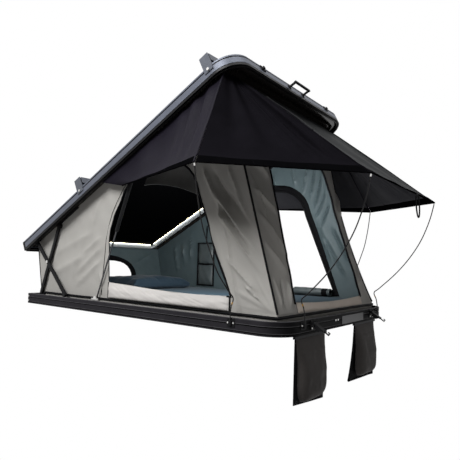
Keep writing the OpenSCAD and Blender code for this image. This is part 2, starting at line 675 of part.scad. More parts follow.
// load bars across the roof on bolted brackets
bar_xs = [-base_x + 792, base_x - 153];
bar_l = 2 * roof_y - 16;
bar_up = 28;
bar_h = 42;
module crossbars() {
  color(c_roof) at_roof() for (x = bar_xs) translate([x - 30, bar_l / 2, roof_top + bar_up + seat])
    rotate([90, 0, 0]) linear_extrude(bar_l) difference() {
      square([60, bar_h]);
      translate([3, 3]) square([54, bar_h - 6]);
    }
}
module bar_brackets() {
  color(c_black) at_roof() for (x = bar_xs) pair() {
    difference() {
      translate([x - 30, -roof_y - 5, roof_z + 36]) cube([60, 5 - 0.1, roof_h - 36 + bar_up + bar_h]);
      y_rod(x, roof_z + 48, -roof_y - 6, -roof_y + 1, 4.5);
    }
    translate([x - 20, -roof_y - 5, roof_top + 0.1]) cube([40, 45, bar_up - 0.1]);
  }
}
module bar_bolts() {
  color(c_steel) at_roof() for (x = bar_xs) pair() {
    y_rod(x, roof_z + 48, -roof_y - 11, -roof_y - 5, 8);
    y_rod(x, roof_z + 48, -roof_y - 6, -roof_y - 0.1, 4.3);
  }
}
// loop handle and latch keepers on the front of the roof
handle_y = -26;
module grab_handle() {
  color(c_black) at_roof() {
    for (s = [-1, 1]) {
      translate([roof_x1 + 0.1, handle_y + s * 80 - 7, roof_top - 34]) cube([50, 14, 8]);
      translate([roof_x1 + 0.1, handle_y + s * 80 - 12, roof_top - 42]) cube([4, 24, 24]);
    }
    translate([roof_x1 + 42, handle_y - 87, roof_top - 36]) cube([12, 174, 12]);
  }
}
module latch_keepers() {
  color(c_black) at_roof() for (s = [-1, 1]) {
    translate([roof_x1 + 0.1, s * latch_y - 20, roof_z + 34]) cube([4, 40, 30]);
    translate([roof_x1 + 4, s * latch_y - 8, roof_z + 42]) cube([10, 16, 6]);
    translate([roof_x1 + 10, s * latch_y - 8, roof_z + 42]) cube([4, 16, 14]);
  }
}
module arm_roof_brackets() {
  color(c_black) at_roof() pair() {
    translate([B1[0] - 26, -arm_plate_y, B1[1]]) cube([52, 6.5, rim_z - B1[1] - 0.1]);
    y_rod(B1[0], B1[1], -arm_plate_y, -arm_plate_y + 6.5, 15);
    y_rod(B1[0], B1[1], -arm_plate_y + 6, -arm_out_y + 1.5, pin_r);
    translate([B1[0] - 26, -arm_plate_y, rim_z - 5]) cube([52, 34, 4.9]);
    translate([S1[0] - 16, -strut_y - 15, S1[1]]) cube([32, 6, rim_z - S1[1] - 0.1]);
    y_rod(S1[0], S1[1], -strut_y - 15, -strut_y - 9, 11);
    y_rod(S1[0], S1[1], -strut_y - 11, -strut_y + 9, stud_r);
  }
}
// guide bars the upper rollers run under
module roof_tracks() {
  color(c_black) at_roof() pair() translate([A1r[0] - 38.8, -arm_in_y + 0.5, A1r[1] + roller_up + seat])
    cube([270, 10.5, rim_z - A1r[1] - roller_up - seat - 0.1]);
}

// awning cloth, one sewn piece drawn as its panels
hem_top = roof_z - 0.4;
up_a = lift([-base_x + 980, -base_y + 13, hem_top]);
up_b = lift([base_x - 105, -base_y + 50, rim_z - 0.5]);
up_c = lift([base_x - 105, -base_y + 150, rim_z - 0.5]);
hem_k = [-base_x + 1000, -base_y + 10, 772];
function flip(p) = [p[0], -p[1], p[2]];
module awning_side_panels() {
  color([0.08, 0.08, 0.10]) pair() {
    sheet(patch(up_a, up_b, hem_k, tip_side, [0, 14, -16], [0, -9, 4], 14, 6), [0, 1.2, -2.4]);
    sheet(patch(up_b + [4, 2, 0], up_c, tip_side + [5, 2, 0], tip_front, [-16, 16, -18], [5, -5, 4], 10, 6),
      [-1.4, 1.4, -1.8]);
  }
}
module awning_front_panel() {
  color([0.08, 0.08, 0.10]) sheet(patch(up_c + [0, 3, 0], flip(up_c) - [0, 3, 0], tip_front + [0, 3, 0],
    flip(tip_front) - [0, 3, 0], [-10, 0, -24], [3, 0, 6], 14, 7), [-0.8, 0, -2.6]);
}

// metal ferrules on the rod ends, under the awning corners
module clip(p, q) {
  d = unit(q - p);
  translate(q - d * 14) rotate([0, acos(d[2]), atan2(d[1], d[0])]) difference() {
    cylinder(r = 6.5, h = 15);
    translate([0, 0, -1]) cylinder(r = 3.4, h = 17);
  }
}
module awning_clips() {
  color(c_steel) pair() {
    clip(rod_side[8], rod_side[9]);
    clip(rod_front[8], rod_front[9]);
  }
}

base_rail();
rear_rail();
rail_end_caps();
end_screws();
floor_panel();
mount_channels();
canvas_strip();
mattress();
pillow();
left_wall();
right_wall();
front_wall();
rear_wall();
window_roll();
organiser();
arm_base_brackets();
base_tracks();
strut_base_brackets();
bracket_bolts();
rod_brackets();
rod_bracket_bolts();
awning_rod_left();
awning_rod_right();
awning_rod_front_left();
awning_rod_front_right();
latch_plates();
latch_bolts();
badge_plate();
bag_tracks();
rear_arms();
cross_bolts();
upper_rollers();
front_arms();
lower_rollers();
strut_rods();
strut_tubes();
latch_lever_left();
latch_lever_right();
boot_bag_left();
boot_bag_right();
roof_rail();
roof_rear_rail();
roof_end_caps();
roof_panel();
roof_rim();
roof_seal();
headliner();
frame_tubes();
tube_elbows();
led_strip();
crossbars();
bar_brackets();
bar_bolts();
grab_handle();
latch_keepers();
arm_roof_brackets();
roof_tracks();
awning_side_panels();
awning_front_panel();
awning_clips();
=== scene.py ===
from math import atan2, cos, exp, hypot, pi, radians, sin, sqrt, tau
import bmesh
import bpy
from mathutils import Matrix, Vector
from mathutils.noise import noise


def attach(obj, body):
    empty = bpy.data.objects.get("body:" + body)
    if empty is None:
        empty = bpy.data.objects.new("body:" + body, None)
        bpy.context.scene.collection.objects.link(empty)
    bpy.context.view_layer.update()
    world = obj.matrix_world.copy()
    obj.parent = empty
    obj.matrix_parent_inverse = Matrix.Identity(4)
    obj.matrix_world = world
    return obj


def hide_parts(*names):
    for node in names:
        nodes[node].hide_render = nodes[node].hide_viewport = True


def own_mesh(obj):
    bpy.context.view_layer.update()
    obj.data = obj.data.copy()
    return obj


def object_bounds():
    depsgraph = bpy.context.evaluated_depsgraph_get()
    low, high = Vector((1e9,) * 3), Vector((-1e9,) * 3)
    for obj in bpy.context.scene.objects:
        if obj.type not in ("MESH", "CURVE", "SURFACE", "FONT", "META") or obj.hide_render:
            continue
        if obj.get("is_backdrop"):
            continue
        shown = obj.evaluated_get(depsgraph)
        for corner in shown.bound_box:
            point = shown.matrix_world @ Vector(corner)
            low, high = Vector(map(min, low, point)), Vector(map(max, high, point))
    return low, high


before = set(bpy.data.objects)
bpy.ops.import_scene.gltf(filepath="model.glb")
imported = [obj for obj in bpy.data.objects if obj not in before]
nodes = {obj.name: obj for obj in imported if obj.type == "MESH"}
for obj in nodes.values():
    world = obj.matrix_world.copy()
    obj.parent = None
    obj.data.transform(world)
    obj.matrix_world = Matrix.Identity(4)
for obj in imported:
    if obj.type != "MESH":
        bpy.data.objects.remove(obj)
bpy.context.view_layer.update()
scene = bpy.context.scene

# Camera
# The photograph was taken low down from the front left corner of the open tent, about
# a third of a metre over the base's underside, looking slightly up.


def placed(name, data):
    ob = bpy.data.objects.new(name, data)
    scene.collection.objects.link(ob)
    return ob


yaw, pitch, tilt = (radians(a) for a in (36.7222, 2.5645, 1.6343))
ahead = Vector((-sin(yaw) * cos(pitch), cos(yaw) * cos(pitch), sin(pitch)))
level = Vector((cos(yaw), sin(yaw), 0))
over = level.cross(ahead)
cam_right = level * cos(tilt) + over * sin(tilt)
cam_up = over * cos(tilt) - level * sin(tilt)
turned = Matrix((cam_right, cam_up, -ahead)).transposed().to_4x4()
photo_wide, focal, off_centre = 460, 452.87, 12  # in pixels of the photograph
film_wide = 36
cam = placed("camera", bpy.data.cameras.new("camera"))
cam.matrix_world = Matrix.Translation((2.1159, -2.3670, 0.3345)) @ turned
cam.data.sensor_width = film_wide
cam.data.lens = film_wide * focal / photo_wide
cam.data.shift_x = -off_centre / photo_wide
cam.data.shift_y = off_centre / photo_wide
cam.data.clip_end = 200
scene.camera = cam

# Floor and light
# The tent stands at the height of a car roof over a plain white floor. Large soft boxes
# hang at the left and overhead; small ones fill in the front, its sill, the cabin and
# the door. Rays from the camera see plain white.
scene.view_settings.view_transform = "Standard"
floor_bm = bmesh.new()
bmesh.ops.create_grid(floor_bm, x_segments=2, y_segments=2, size=40)
floor_mesh = bpy.data.meshes.new("studio_floor")
floor_bm.to_mesh(floor_mesh)
floor_bm.free()
floor = placed("studio_floor", floor_mesh)
floor.location = (0, 0, -1.9)
floor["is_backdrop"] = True


class Tone:
    """A value in a finish. Sums and products of tones add Math nodes to the same tree."""

    def __init__(self, tree, socket=None):
        self.tree = tree
        self.socket = socket

    def node(self, kind, settings=None, values=None, out=0):
        made = self.tree.nodes.new("ShaderNode" + kind)
        for name, value in (settings or {}).items():
            setattr(made, name, value)
        for name, value in (values or {}).items():
            if isinstance(value, Tone):
                self.tree.links.new(value.socket, made.inputs[name])
            else:
                made.inputs[name].default_value = value
        return Tone(self.tree, made.outputs[out])

    def math(self, operation, *terms):
        return self.node("Math", {"operation": operation}, dict(enumerate(terms)))

    def __add__(self, other):
        return self.math("ADD", self, other)

    def __sub__(self, other):
        return self.math("SUBTRACT", self, other)

    def __rsub__(self, other):
        return self.math("SUBTRACT", other, self)

    def __mul__(self, other):
        return self.math("MULTIPLY", self, other)

    __radd__ = __add__
    __rmul__ = __mul__

    def place(self, scale=(1, 1, 1)):
        spot = self.node("TexCoord", out="Object")
        return self.node("VectorMath", {"operation": "MULTIPLY"}, {0: spot, 1: scale})

    def grain(self, size, scale=(1, 1, 1), detail=3.0):
        """Uneven grey from 0 to 1 with patches about size metres across."""
        return self.node("TexNoise", None, {"Vector": self.place(scale), "Scale": 1 / size, "Detail": detail})

    def blend(self, share, a, b):
        a, b = (c if isinstance(c, Tone) else (*c, 1) for c in (a, b))
        return self.node("Mix", {"data_type": "RGBA"}, {0: share, 6: a, 7: b}, out=2)

    def between(self, value, low, high):
        return self.math("GREATER_THAN", value, low) * self.math("LESS_THAN", value, high)

    def bump(self, height, strength, depth):
        return self.node("Bump", None, {"Height": height, "Strength": strength, "Distance": depth})


def seen_white(ink, lit, glow):
    """Plain white for rays from the camera, from mirrors and through glass; lit elsewhere."""
    seen = [ink.node("LightPath", out=f"Is {ray} Ray") for ray in ("Camera", "Glossy", "Transmission")]
    share = ink.math("MAXIMUM", seen[0], ink.math("MAXIMUM", seen[1], seen[2]))
    return ink.node("MixShader", None, {0: share, 1: lit, 2: glow})


floor_paint = bpy.data.materials.new("studio_white")
floor_paint.use_nodes = True
ink = Tone(floor_paint.node_tree)
matt = ink.node("BsdfDiffuse", None, {"Color": (0.6, 0.6, 0.6, 1)})
shown = seen_white(ink, matt, ink.node("Emission"))
ink.tree.links.new(shown.socket, ink.tree.nodes["Material Output"].inputs["Surface"])
floor_mesh.materials.append(floor_paint)

world = bpy.data.worlds.new("studio")
world.use_nodes = True
scene.world = world
ink = Tone(world.node_tree)
soft = ink.node("Background", None, {"Color": (1.0, 0.97, 0.94, 1), "Strength": 0.12})
shown = seen_white(ink, soft, ink.node("Background", None, {"Color": (1, 1, 1, 1)}))
ink.tree.links.new(shown.socket, ink.tree.nodes["World Output"].inputs["Surface"])


def soft_box(name, place, target, size, power):
    light = bpy.data.lights.new(name, "AREA")
    light.shape = "RECTANGLE"
    light.size, light.size_y = size
    light.energy = power
    lamp = placed(name, light)
    lamp.location = place
    lamp.rotation_euler = (Vector(target) - Vector(place)).to_track_quat("-Z", "Y").to_euler()
    lamp.visible_camera = False


soft_box("left_box", (0.2, -4.4, 4.2), (0.0, -0.5, 0.4), (3.0, 2.6), 362)
soft_box("top_box", (0.6, -0.6, 5.2), (0.2, 0, 0.6), (3.5, 3.0), 150)
soft_box("front_box", (4.6, -0.6, -1.2), (0.9, 0.0, 1.0), (1.6, 1.2), 2)
soft_box("sill_box", (1.75, 0.10, 0.02), (1.0, 0.05, 0.11), (0.7, 0.3), 0.9)
soft_box("cabin_box", (0.35, -0.35, 0.62), (-0.5, 0.5, 0.25), (0.5, 0.4), 7)
soft_box("door_box", (0.75, -0.1, 0.75), (0.45, 0.6, 0.6), (0.3, 0.3), 2.5)

# Base rail
# The base edge is an aluminium extrusion with two grooves outside, bent round the two
# front corners and anodised black; a straight rail closes the rear end. Painted shade darkens
# its front run and its grooves, and painted highlights run along the groove edges. Cut ends
# carry moulded caps with two screws each.


def finish(name, rough=0.5, metal=0.0, shine=0.5, **fixed):
    """A new finish: its material, a tone to draw with, and its surface sockets."""
    paint = bpy.data.materials.new(name)
    paint.use_nodes = True
    skin = paint.node_tree.nodes["Principled BSDF"].inputs
    skin["Roughness"].default_value = rough
    skin["Metallic"].default_value = metal
    skin["Specular IOR Level"].default_value = shine
    for socket, value in fixed.items():
        skin[socket.replace("_", " ")].default_value = value
    return paint, Tone(paint.node_tree), skin


def lay(tone, socket):
    tone.tree.links.new(tone.socket, socket)


def dress(paint, *names):
    for name in names:
        for spot in nodes[name].material_slots:
            spot.material = paint


def coated(name, dark, light, patch, rough, speck=None, bump=None, **base):
    """A coating or bare metal: uneven colour, roughness and bump from its finest grain.

    patch and speck are what grain takes; rough is its least value and its spread.
    """
    paint, ink, skin = finish(name, **base)
    cloud = ink.grain(*patch)
    fine = ink.grain(*speck) if speck else cloud
    lay(ink.blend(cloud, dark, light), skin["Base Color"])
    lay(rough[0] + fine * rough[1], skin["Roughness"])
    if bump:
        lay(ink.bump(fine, *bump), skin["Normal"])
    return paint


black_anodised, ink, skin = finish("black_anodised", shine=0.02)
cloud = ink.grain(0.05)
speck = ink.grain(0.0015)
along, height = (ink.node("SeparateXYZ", None, {0: ink.place()}, out=axis) for axis in "XZ")
# painted shade: the two groove bands of the rail are painted near black
groove_shade = ink.between(height, 0.0392, 0.0448) + ink.between(height, 0.0072, 0.0128)
# painted highlights: lighter lines along the upper edges of the grooves and along the top edge
highlight_and_wear = ink.between(height, 0.0448, 0.0475) + ink.between(height, 0.0128, 0.0152)
highlight_and_wear += ink.between(height, 0.0675, 0.0705)
face = ink.blend(cloud, (0.017, 0.0162, 0.0188), (0.031, 0.0295, 0.034))
# painted shade: the front run of the rail is painted darker than the sides
front_run_shade = ink.node("MapRange", None, {"Value": along, "From Min": 0.95, "From Max": 1.068})
face = ink.blend(front_run_shade, face, (0.004, 0.004, 0.0045))
face = ink.blend(highlight_and_wear * (0.4 + cloud * 0.6), face, (0.10, 0.098, 0.105))
lay(ink.blend(groove_shade, face, (0.0015, 0.0015, 0.0015)), skin["Base Color"])
lay(0.40 + cloud * 0.16 + speck * 0.08, skin["Roughness"])
lay(ink.bump(speck, 0.04, 0.0002), skin["Normal"])
dress(black_anodised, "base_rail", "rear_rail")

moulded_black = coated("moulded_black", (0.008, 0.008, 0.009), (0.018, 0.018, 0.019), (0.03,),
                       rough=(0.42, 0.22), speck=(0.0022,), bump=(0.25, 0.0004), shine=0.06)
dress(moulded_black, "rail_end_caps", "roof_end_caps", "bag_tracks")

zinc_steel = coated("zinc_steel", (0.52, 0.52, 0.52), (0.74, 0.73, 0.70), (0.004,),
                    rough=(0.2, 0.22), metal=1.0)
dress(zinc_steel, "end_screws", "bracket_bolts", "rod_bracket_bolts", "latch_bolts", "cross_bolts",
      "bar_bolts", "strut_base_brackets")

# Floor and channels
# A composite floor board lies in the base rail. Two aluminium channels run along
# under it with slots for the clamps; a strip round the edge grips the canvas.
floor_skin = coated("floor_skin", (0.022, 0.022, 0.023), (0.042, 0.042, 0.044), (0.012, (1, 1, 1), 5),
                    rough=(0.6, 0.2), bump=(0.3, 0.0006), shine=0.12)
dress(floor_skin, "floor_panel")
mill_alu = coated("mill_alu", (0.46, 0.465, 0.47), (0.62, 0.62, 0.62), (0.003, (0.02, 1, 1), 4),
                  rough=(0.28, 0.2), bump=(0.08, 0.0003), metal=1.0)
dress(mill_alu, "mount_channels")

strip_cloth, ink, skin = finish("strip_cloth", shine=0.2)
cloud = ink.grain(0.02)
lay(ink.blend(cloud, (0.335, 0.325, 0.305), (0.43, 0.42, 0.40)), skin["Base Color"])
lay(0.62 + cloud * 0.2, skin["Roughness"])
lay(ink.bump(ink.grain(0.0018), 0.3, 0.0004), skin["Normal"])
dress(strip_cloth, "canvas_strip")

# Mattress and pillow
# A foam mattress in a slate blue knitted cover fills the floor, and a flat navy pillow
# lies at the rear end. Both covers are loose and swell between their seams.


def made_of(name, bm, *paints):
    """Turns finished bmesh work into an object with smooth faces."""
    bmesh.ops.recalc_face_normals(bm, faces=bm.faces)
    mesh = bpy.data.meshes.new(name)
    bm.to_mesh(mesh)
    bm.free()
    for paint in paints:
        mesh.materials.append(paint)
    mesh.shade_smooth()
    return placed(name, mesh)


def settle(ob):
    """Puts what the modifiers made into the mesh and takes them off."""
    done = bpy.data.meshes.new_from_object(ob.evaluated_get(bpy.context.evaluated_depsgraph_get()))
    ob.modifiers.clear()
    done.name = ob.name
    ob.data = done
    done.shade_smooth()
    done.set_sharp_from_angle(angle=radians(50))


def swell(ob, voxel, push, cap, low):
    """Blows the cover up a little as cloth round its filling, resting on height low."""
    mesher = ob.modifiers.new("skin", "REMESH")
    mesher.mode = "VOXEL"
    mesher.voxel_size = voxel
    settle(ob)
    start = [v.co.copy() for v in ob.data.vertices]
    cover = ob.modifiers.new("cover", "CLOTH")
    cover.settings.use_pressure = True
    cover.settings.uniform_pressure_force = push
    cover.settings.effector_weights.gravity = 0
    cover.point_cache.frame_end = 20
    for step in range(1, 21):
        scene.frame_set(step)
    settle(ob)
    for v, was in zip(ob.data.vertices, start):
        shift = v.co - was
        if shift.length > cap:
            v.co = was + shift * (cap / shift.length)
        v.co.z = max(v.co.z, low)
    scene.frame_set(1)
    smoother = ob.modifiers.new("smooth", "SUBSURF")
    smoother.levels = smoother.render_levels = 1
    settle(ob)


def woven(name, dark, light, thread, rough, shine=0.2, folds=0.05, sheen=0.0):
    """Woven cloth: crossing threads in the bump, uneven dye in the colour."""
    paint, ink, skin = finish(name, rough, shine=shine, Sheen_Weight=sheen, Sheen_Roughness=0.4)
    cloud = ink.grain(folds, (1, 1, 1), 4)
    fine = ink.grain(thread * 2)
    lay(ink.blend(cloud * 0.7 + fine * 0.3, dark, light), skin["Base Color"])
    count = {"Scale": 0.32 / thread, "Distortion": 0.3}
    warp, weft = (ink.node("TexWave", {"bands_direction": way}, {"Vector": spot, **count}, out="Fac")
                  for way, spot in (("X", ink.place((1, 0.9, 0))), ("Z", ink.place())))
    lay(ink.bump(warp * weft * 0.6 + fine * 0.4, 0.22, thread * 0.25), skin["Normal"])
    lay(rough - 0.08 + cloud * 0.16, skin["Roughness"])
    return paint


def fitted(ob, body, slot, *stands_for):
    """Ties a finished piece to its body and hides the nodes it stands for; slot is not used."""
    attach(ob, body)
    if stands_for:
        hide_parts(*stands_for)


slate_knit = woven("slate_knit", (0.016, 0.052, 0.080), (0.026, 0.073, 0.110), 0.0016, 0.85, sheen=0.2)
long, wide, tall = 1.896, 1.110, 0.058
bed_x, bed_z = -0.003, 0.0795
bed = bmesh.new()
bmesh.ops.create_cube(bed, size=1)
for v in bed.verts:
    v.co = Vector((bed_x + v.co.x * long, v.co.y * wide, bed_z + v.co.z * tall))
bmesh.ops.bevel(bed, geom=bed.edges, offset=0.02, segments=3, profile=0.5, affect="EDGES", material=-1)
mattress = made_of("mattress_cover", bed, slate_knit)
swell(mattress, voxel=0.016, push=2.0, cap=0.008, low=0.0484)
fitted(mattress, "base", "mattress_cloth", "mattress")
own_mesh(mattress)

navy_cotton = woven("navy_cotton", (0.020, 0.037, 0.055), (0.034, 0.058, 0.082), 0.0012, 0.8, sheen=0.15)
half_long, half_wide = 0.208, 0.290
pillow_x, pillow_y, underside = -0.578, 0.02, 0.1215
cushion = bmesh.new()
bmesh.ops.create_cube(cushion, size=2)
bmesh.ops.subdivide_edges(cushion, edges=cushion.edges, cuts=15, use_grid_fill=True)
for v in cushion.verts:
    u, w, h = v.co
    full = max(0.0, (1 - u ** 10) * (1 - w ** 10)) ** 0.4
    pull = 1 - 0.06 * (1 - u * u) * abs(w) ** 3 - 0.06 * (1 - w * w) * abs(u) ** 3
    dent = 0.010 * noise((u * 2.1, w * 2.6, 1.7))
    crown = 0.052 + 0.016 * (1 - u * u) * (1 - w * w) + dent
    loft = (0.5 + 0.5 * h) * (0.026 + full * (crown - 0.012)) + 0.010 * (1 - full)
    v.co = Vector((pillow_x + u * half_long * pull, pillow_y + w * half_wide * pull, underside + loft))
pillow = made_of("pillow_cover", cushion, navy_cotton)
swell(pillow, voxel=0.008, push=3.0, cap=0.010, low=0.1145)
fitted(pillow, "base", "pillow_cloth", "pillow")
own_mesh(pillow)

# Canvas walls
# Four walls of light grey canvas, coated dark teal inside, are sewn together at the
# corners with black piping. Each has an opening: doors at the sides and the front,
# an arched window at the rear. They are bound with black tape, but for the sills at the
# left and the front, which have a hem of canvas.
thick = 0.0022
foot = 0.0983
stowed = 0.047  # how far below its foot the canvas lies when the tent is shut
side_y = 0.590
front_x, head_x, head_z = 1.005, 0.6429, 1.309  # foot and head of the front corners
rear_x, rear_z = -1.003, 0.4703                 # rear edge of the side walls
tail_x, tail_z = -1.0776, 0.4323                # head of the rear wall, which leans out
end_half = 0.5867                               # half the width of the front and rear walls
canvas_out = woven("canvas_out", (0.335, 0.325, 0.305), (0.43, 0.42, 0.40), 0.0020, 0.9, folds=0.11)
canvas_in = woven("canvas_in", (0.082, 0.118, 0.129), (0.132, 0.178, 0.190), 0.0020, 0.5, shine=0.4)
tape_black = woven("tape_black", (0.004, 0.004, 0.005), (0.010, 0.010, 0.011), 0.0014, 0.7, shine=0.06)


def cross(p, q):
    return p[0] * q[1] - p[1] * q[0]


def reach(centre, angle, loop):
    """How far a line from centre at angle runs before it leaves the loop."""
    d = (cos(angle), sin(angle))
    far = 0.0
    for a, b in zip(loop, loop[1:] + loop[:1]):
        edge = (b[0] - a[0], b[1] - a[1])
        turn = cross(d, edge)
        if abs(turn) > 1e-12:
            start = (a[0] - centre[0], a[1] - centre[1])
            if -1e-9 <= cross(start, d) / turn <= 1 + 1e-9:
                far = max(far, cross(start, edge) / turn)
    return far


def ridge(s, t, folds):
    """Height of the cloth over its plane: each fold runs between two points of the wall."""
    rise = 0.0
    for s0, t0, s1, t1, wide, high in folds:
        ds, dt = s1 - s0, t1 - t0
        run = ds * ds + dt * dt
        k = ((s - s0) * ds + (t - t0) * dt) / run
        off = ((s - s0) * dt - (t - t0) * ds) / sqrt(run)
        end = exp(-max(0.0, abs(k - 0.5) - 0.28) ** 2 / 0.03)
        rise += 2.0 * high * exp(-(abs(off) / wide / 0.8) ** 1.4) * end
    return rise


def edge_gap(s, t, outline):
    """How far a point of the wall is from the wall's sewn edges."""
    gap = 9.0
    for (a, b), (c, d) in zip(outline, outline[1:] + outline[:1]):
        ds, dt = c - a, d - b
        k = max(0.0, min(1.0, ((s - a) * ds + (t - b) * dt) / (ds * ds + dt * dt)))
        gap = min(gap, hypot(s - a - k * ds, t - b - k * dt))
    return gap


def flat_area(loop):
    return abs(sum(cross(a, b) for a, b in zip(loop, loop[1:] + loop[:1]))) / 2


def lofted(bm, rings):
    """Bridges rings of points in turn, as when a skin is laid over its ribs."""
    loops = [[bm.verts.new(p) for p in ring] for ring in rings]
    wires = [[bm.edges.new(pair) for pair in zip(ring, ring[1:] + ring[:1])] for ring in loops]
    for one, two in zip(wires, wires[1:]):
        bmesh.ops.bridge_loops(bm, edges=one + two)
    return loops


def layered(ob, thickness, offset=-1.0, lining=0, baked=True):
    """Gives a sheet its thickness; lining counts on to the paint of its inner face."""
    layer = ob.modifiers.new("cloth", "SOLIDIFY")
    layer.thickness = thickness
    layer.offset = offset
    layer.material_offset = lining
    if baked:
        settle(ob)


def faced(ob, way):
    """Turns the faces over if most of the sheet looks away from way."""
    if sum(f.normal.dot(way) * f.area for f in ob.data.polygons) < 0:
        ob.data.flip_normals()


def canvas_wall(name, outline, opening, centre, place, folds, loose, lean, band=0.0):
    """A wall with its opening; returns the points of the opening's edge for the tape.

    loose is the depth and the seed of its ripples, lean the way it would go down when the
    roof shuts, though nothing here moves it, and band the width of a tape sewn round the opening inside.
    """
    corners = [atan2(t - centre[1], s - centre[0]) for s, t in outline + opening]
    angles = [tau * k / 380 - pi for k in range(380)]
    angles = sorted([a for a in angles if min(abs(a - c) for c in corners) > 0.005] + corners)

    def around(loop, past=0.0):
        """Points of the loop as seen from the centre, moved out by past."""
        far = [(a, reach(centre, a, loop) + past) for a in angles]
        return [(centre[0] + r * cos(a), centre[1] + r * sin(a)) for a, r in far]

    rings = [around(opening), around(outline)]
    cloth = bmesh.new()
    loops = [[cloth.verts.new((s, t, 0)) for s, t in ring] for ring in rings]
    edges = [cloth.edges.new(pair) for ring in loops for pair in zip(ring, ring[1:] + ring[:1])]
    spokes = bmesh.ops.bridge_loops(cloth, edges=edges)["edges"]
    bmesh.ops.subdivide_edges(cloth, edges=spokes, cuts=44, use_grid_fill=True)

    def height(s, t):
        calm = min(1.0, edge_gap(s, t, outline) / 0.09)
        wave = noise((s * 3.1, t * 3.1, loose[1])) + 0.4 * noise((s * 8.5, t * 8.5, loose[1] + 4))
        wave += 0.7 * noise(((s * 0.80 + t * 0.60) * 15, (t * 0.80 - s * 0.60) * 3.5, loose[1] + 9))
        return calm * (ridge(s, t, folds) + loose[0] * wave)

    for v in cloth.verts:
        v.co = place(v.co.x, v.co.y, height(v.co.x, v.co.y))
    wall = made_of(name, cloth, canvas_out, canvas_in)
    faced(wall, place(0, 0, 1) - place(0, 0, 0))
    layered(wall, thick, lining=1)
    wide = max(p[0] for p in outline) - min(p[0] for p in outline)
    tall = max(p[1] for p in outline) - min(p[1] for p in outline)
    fitted(wall, "base", "canvas", name)
    flat_area(outline) - flat_area(opening)
    low_line = place(0, outline[0][1], 0) - Vector(lean) * stowed
    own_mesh(wall)
    if band:
        tape = bmesh.new()
        turned_in = (0.0, 0.0), (0.0, 0.006), (0.5, 0.0065), (1.0, 0.006), (1.0, 0.002)
        lofted(tape, [[place(s, t, height(s, t) - sunk) for s, t in around(opening, band * share)]
                      for share, sunk in turned_in])
        sewn_on(made_of(name + "_inner_tape", tape, tape_black), lean, low_line)
    return [place(s, t, height(s, t)) for s, t in rings[0]]


def corded(name, path, radius, paint, closed=False):
    """A round cord or a rolled tape edge along a path of points."""
    line = bpy.data.curves.new(name, "CURVE")
    line.dimensions = "3D"
    line.bevel_depth = radius
    line.bevel_resolution = 3
    line.use_fill_caps = not closed
    run = line.splines.new("POLY")
    run.points.add(len(path) - 1)
    for spot, at in zip(run.points, path):
        spot.co = (*at, 1)
    run.use_cyclic_u = closed
    guide = placed(name, line)
    mesh = bpy.data.meshes.new_from_object(guide.evaluated_get(bpy.context.evaluated_depsgraph_get()))
    bpy.data.objects.remove(guide)
    mesh.name = name
    mesh.materials.clear()
    mesh.materials.append(paint)
    mesh.shade_smooth()
    return placed(name, mesh)


def sewn_on(ob, lean, anchor, slot="canvas"):
    """A tape, cord or flap sewn to a wall, tied to the base with it; lean and anchor are not used."""
    fitted(ob, "base", slot)
    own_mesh(ob)
    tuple(lean)
    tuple(anchor)


def metres(*rows):
    """Rows of a cutting plan, which is in millimetres."""
    return [tuple(v / 1000 for v in row) for row in rows]


def left_side(s, t, w):
    return Vector((s, -side_y - w, t))


def slack(t):
    """How far the right front corner is drawn back at height t, where the cloth hangs loose."""
    return 0.060 * sin(pi * max(0.0, min(1.0, (t - foot) / 1.21))) ** 0.8


def right_side(s, t, w):
    near = max(0.0, 1 - (front_x - (t - foot) * 0.2991 - s) / 0.24)
    return Vector((s - slack(t) * near ** 2, side_y + w, t))


side_cut = [(rear_x, foot), (front_x, foot), (head_x, head_z), (rear_x, rear_z)]
side_door = metres(
    (-205, 178), (0, 155), (270, 136), (500, 132), (738, 140), (500, 690), (482, 745), (455, 795),
    (420, 832), (380, 860), (340, 879), (293, 890), (170, 900), (60, 885), (10, 870), (-30, 850),
    (-60, 822), (-85, 783), (-130, 690), (-165, 600), (-188, 520), (-200, 450))
left_door = metres(
    (-235, 183), (-30, 174), (143, 164), (305, 159), (500, 156), (732, 162))
left_door += side_door[5:17] + metres(
    (-85, 795), (-125, 745), (-165, 675), (-210, 600), (-236, 520), (-246, 450), (-243, 325))
left_folds = metres(
    (600, 710, 920, 350, 20, 17), (630, 600, 940, 270, 18, 16), (660, 710, 930, 420, 14, -9),
    (620, 660, 910, 300, 12, -10), (520, 830, 660, 600, 16, 11), (580, 820, 720, 620, 16, -8),
    (630, 660, 710, 420, 10, 8), (700, 450, 785, 110, 8, 6), (990, 100, 780, 190, 9, 8),
    (990, 100, 810, 230, 9, 9), (990, 110, 880, 270, 9, 6), (990, 100, 790, 125, 8, 5),
    (750, 680, 890, 440, 14, 10), (700, 360, 900, 190, 16, 10), (580, 540, 700, 200, 12, 8),
    (690, 820, 780, 640, 13, 7), (-350, 720, -410, 550, 18, 4), (-310, 410, -580, 230, 26, 5),
    (-310, 330, -600, 130, 24, 5), (-330, 470, -520, 360, 20, 4), (-270, 90, -330, 250, 14, 5),
    (-500, 520, -620, 200, 36, 5), (-920, 200, -450, 360, 34, 5), (-850, 360, -420, 500, 30, 4))
left_edge = canvas_wall("left_wall", side_cut, left_door, (0.22, 0.48), left_side, left_folds,
                        loose=(0.0045, 2.0), lean=(0, 0, 1))
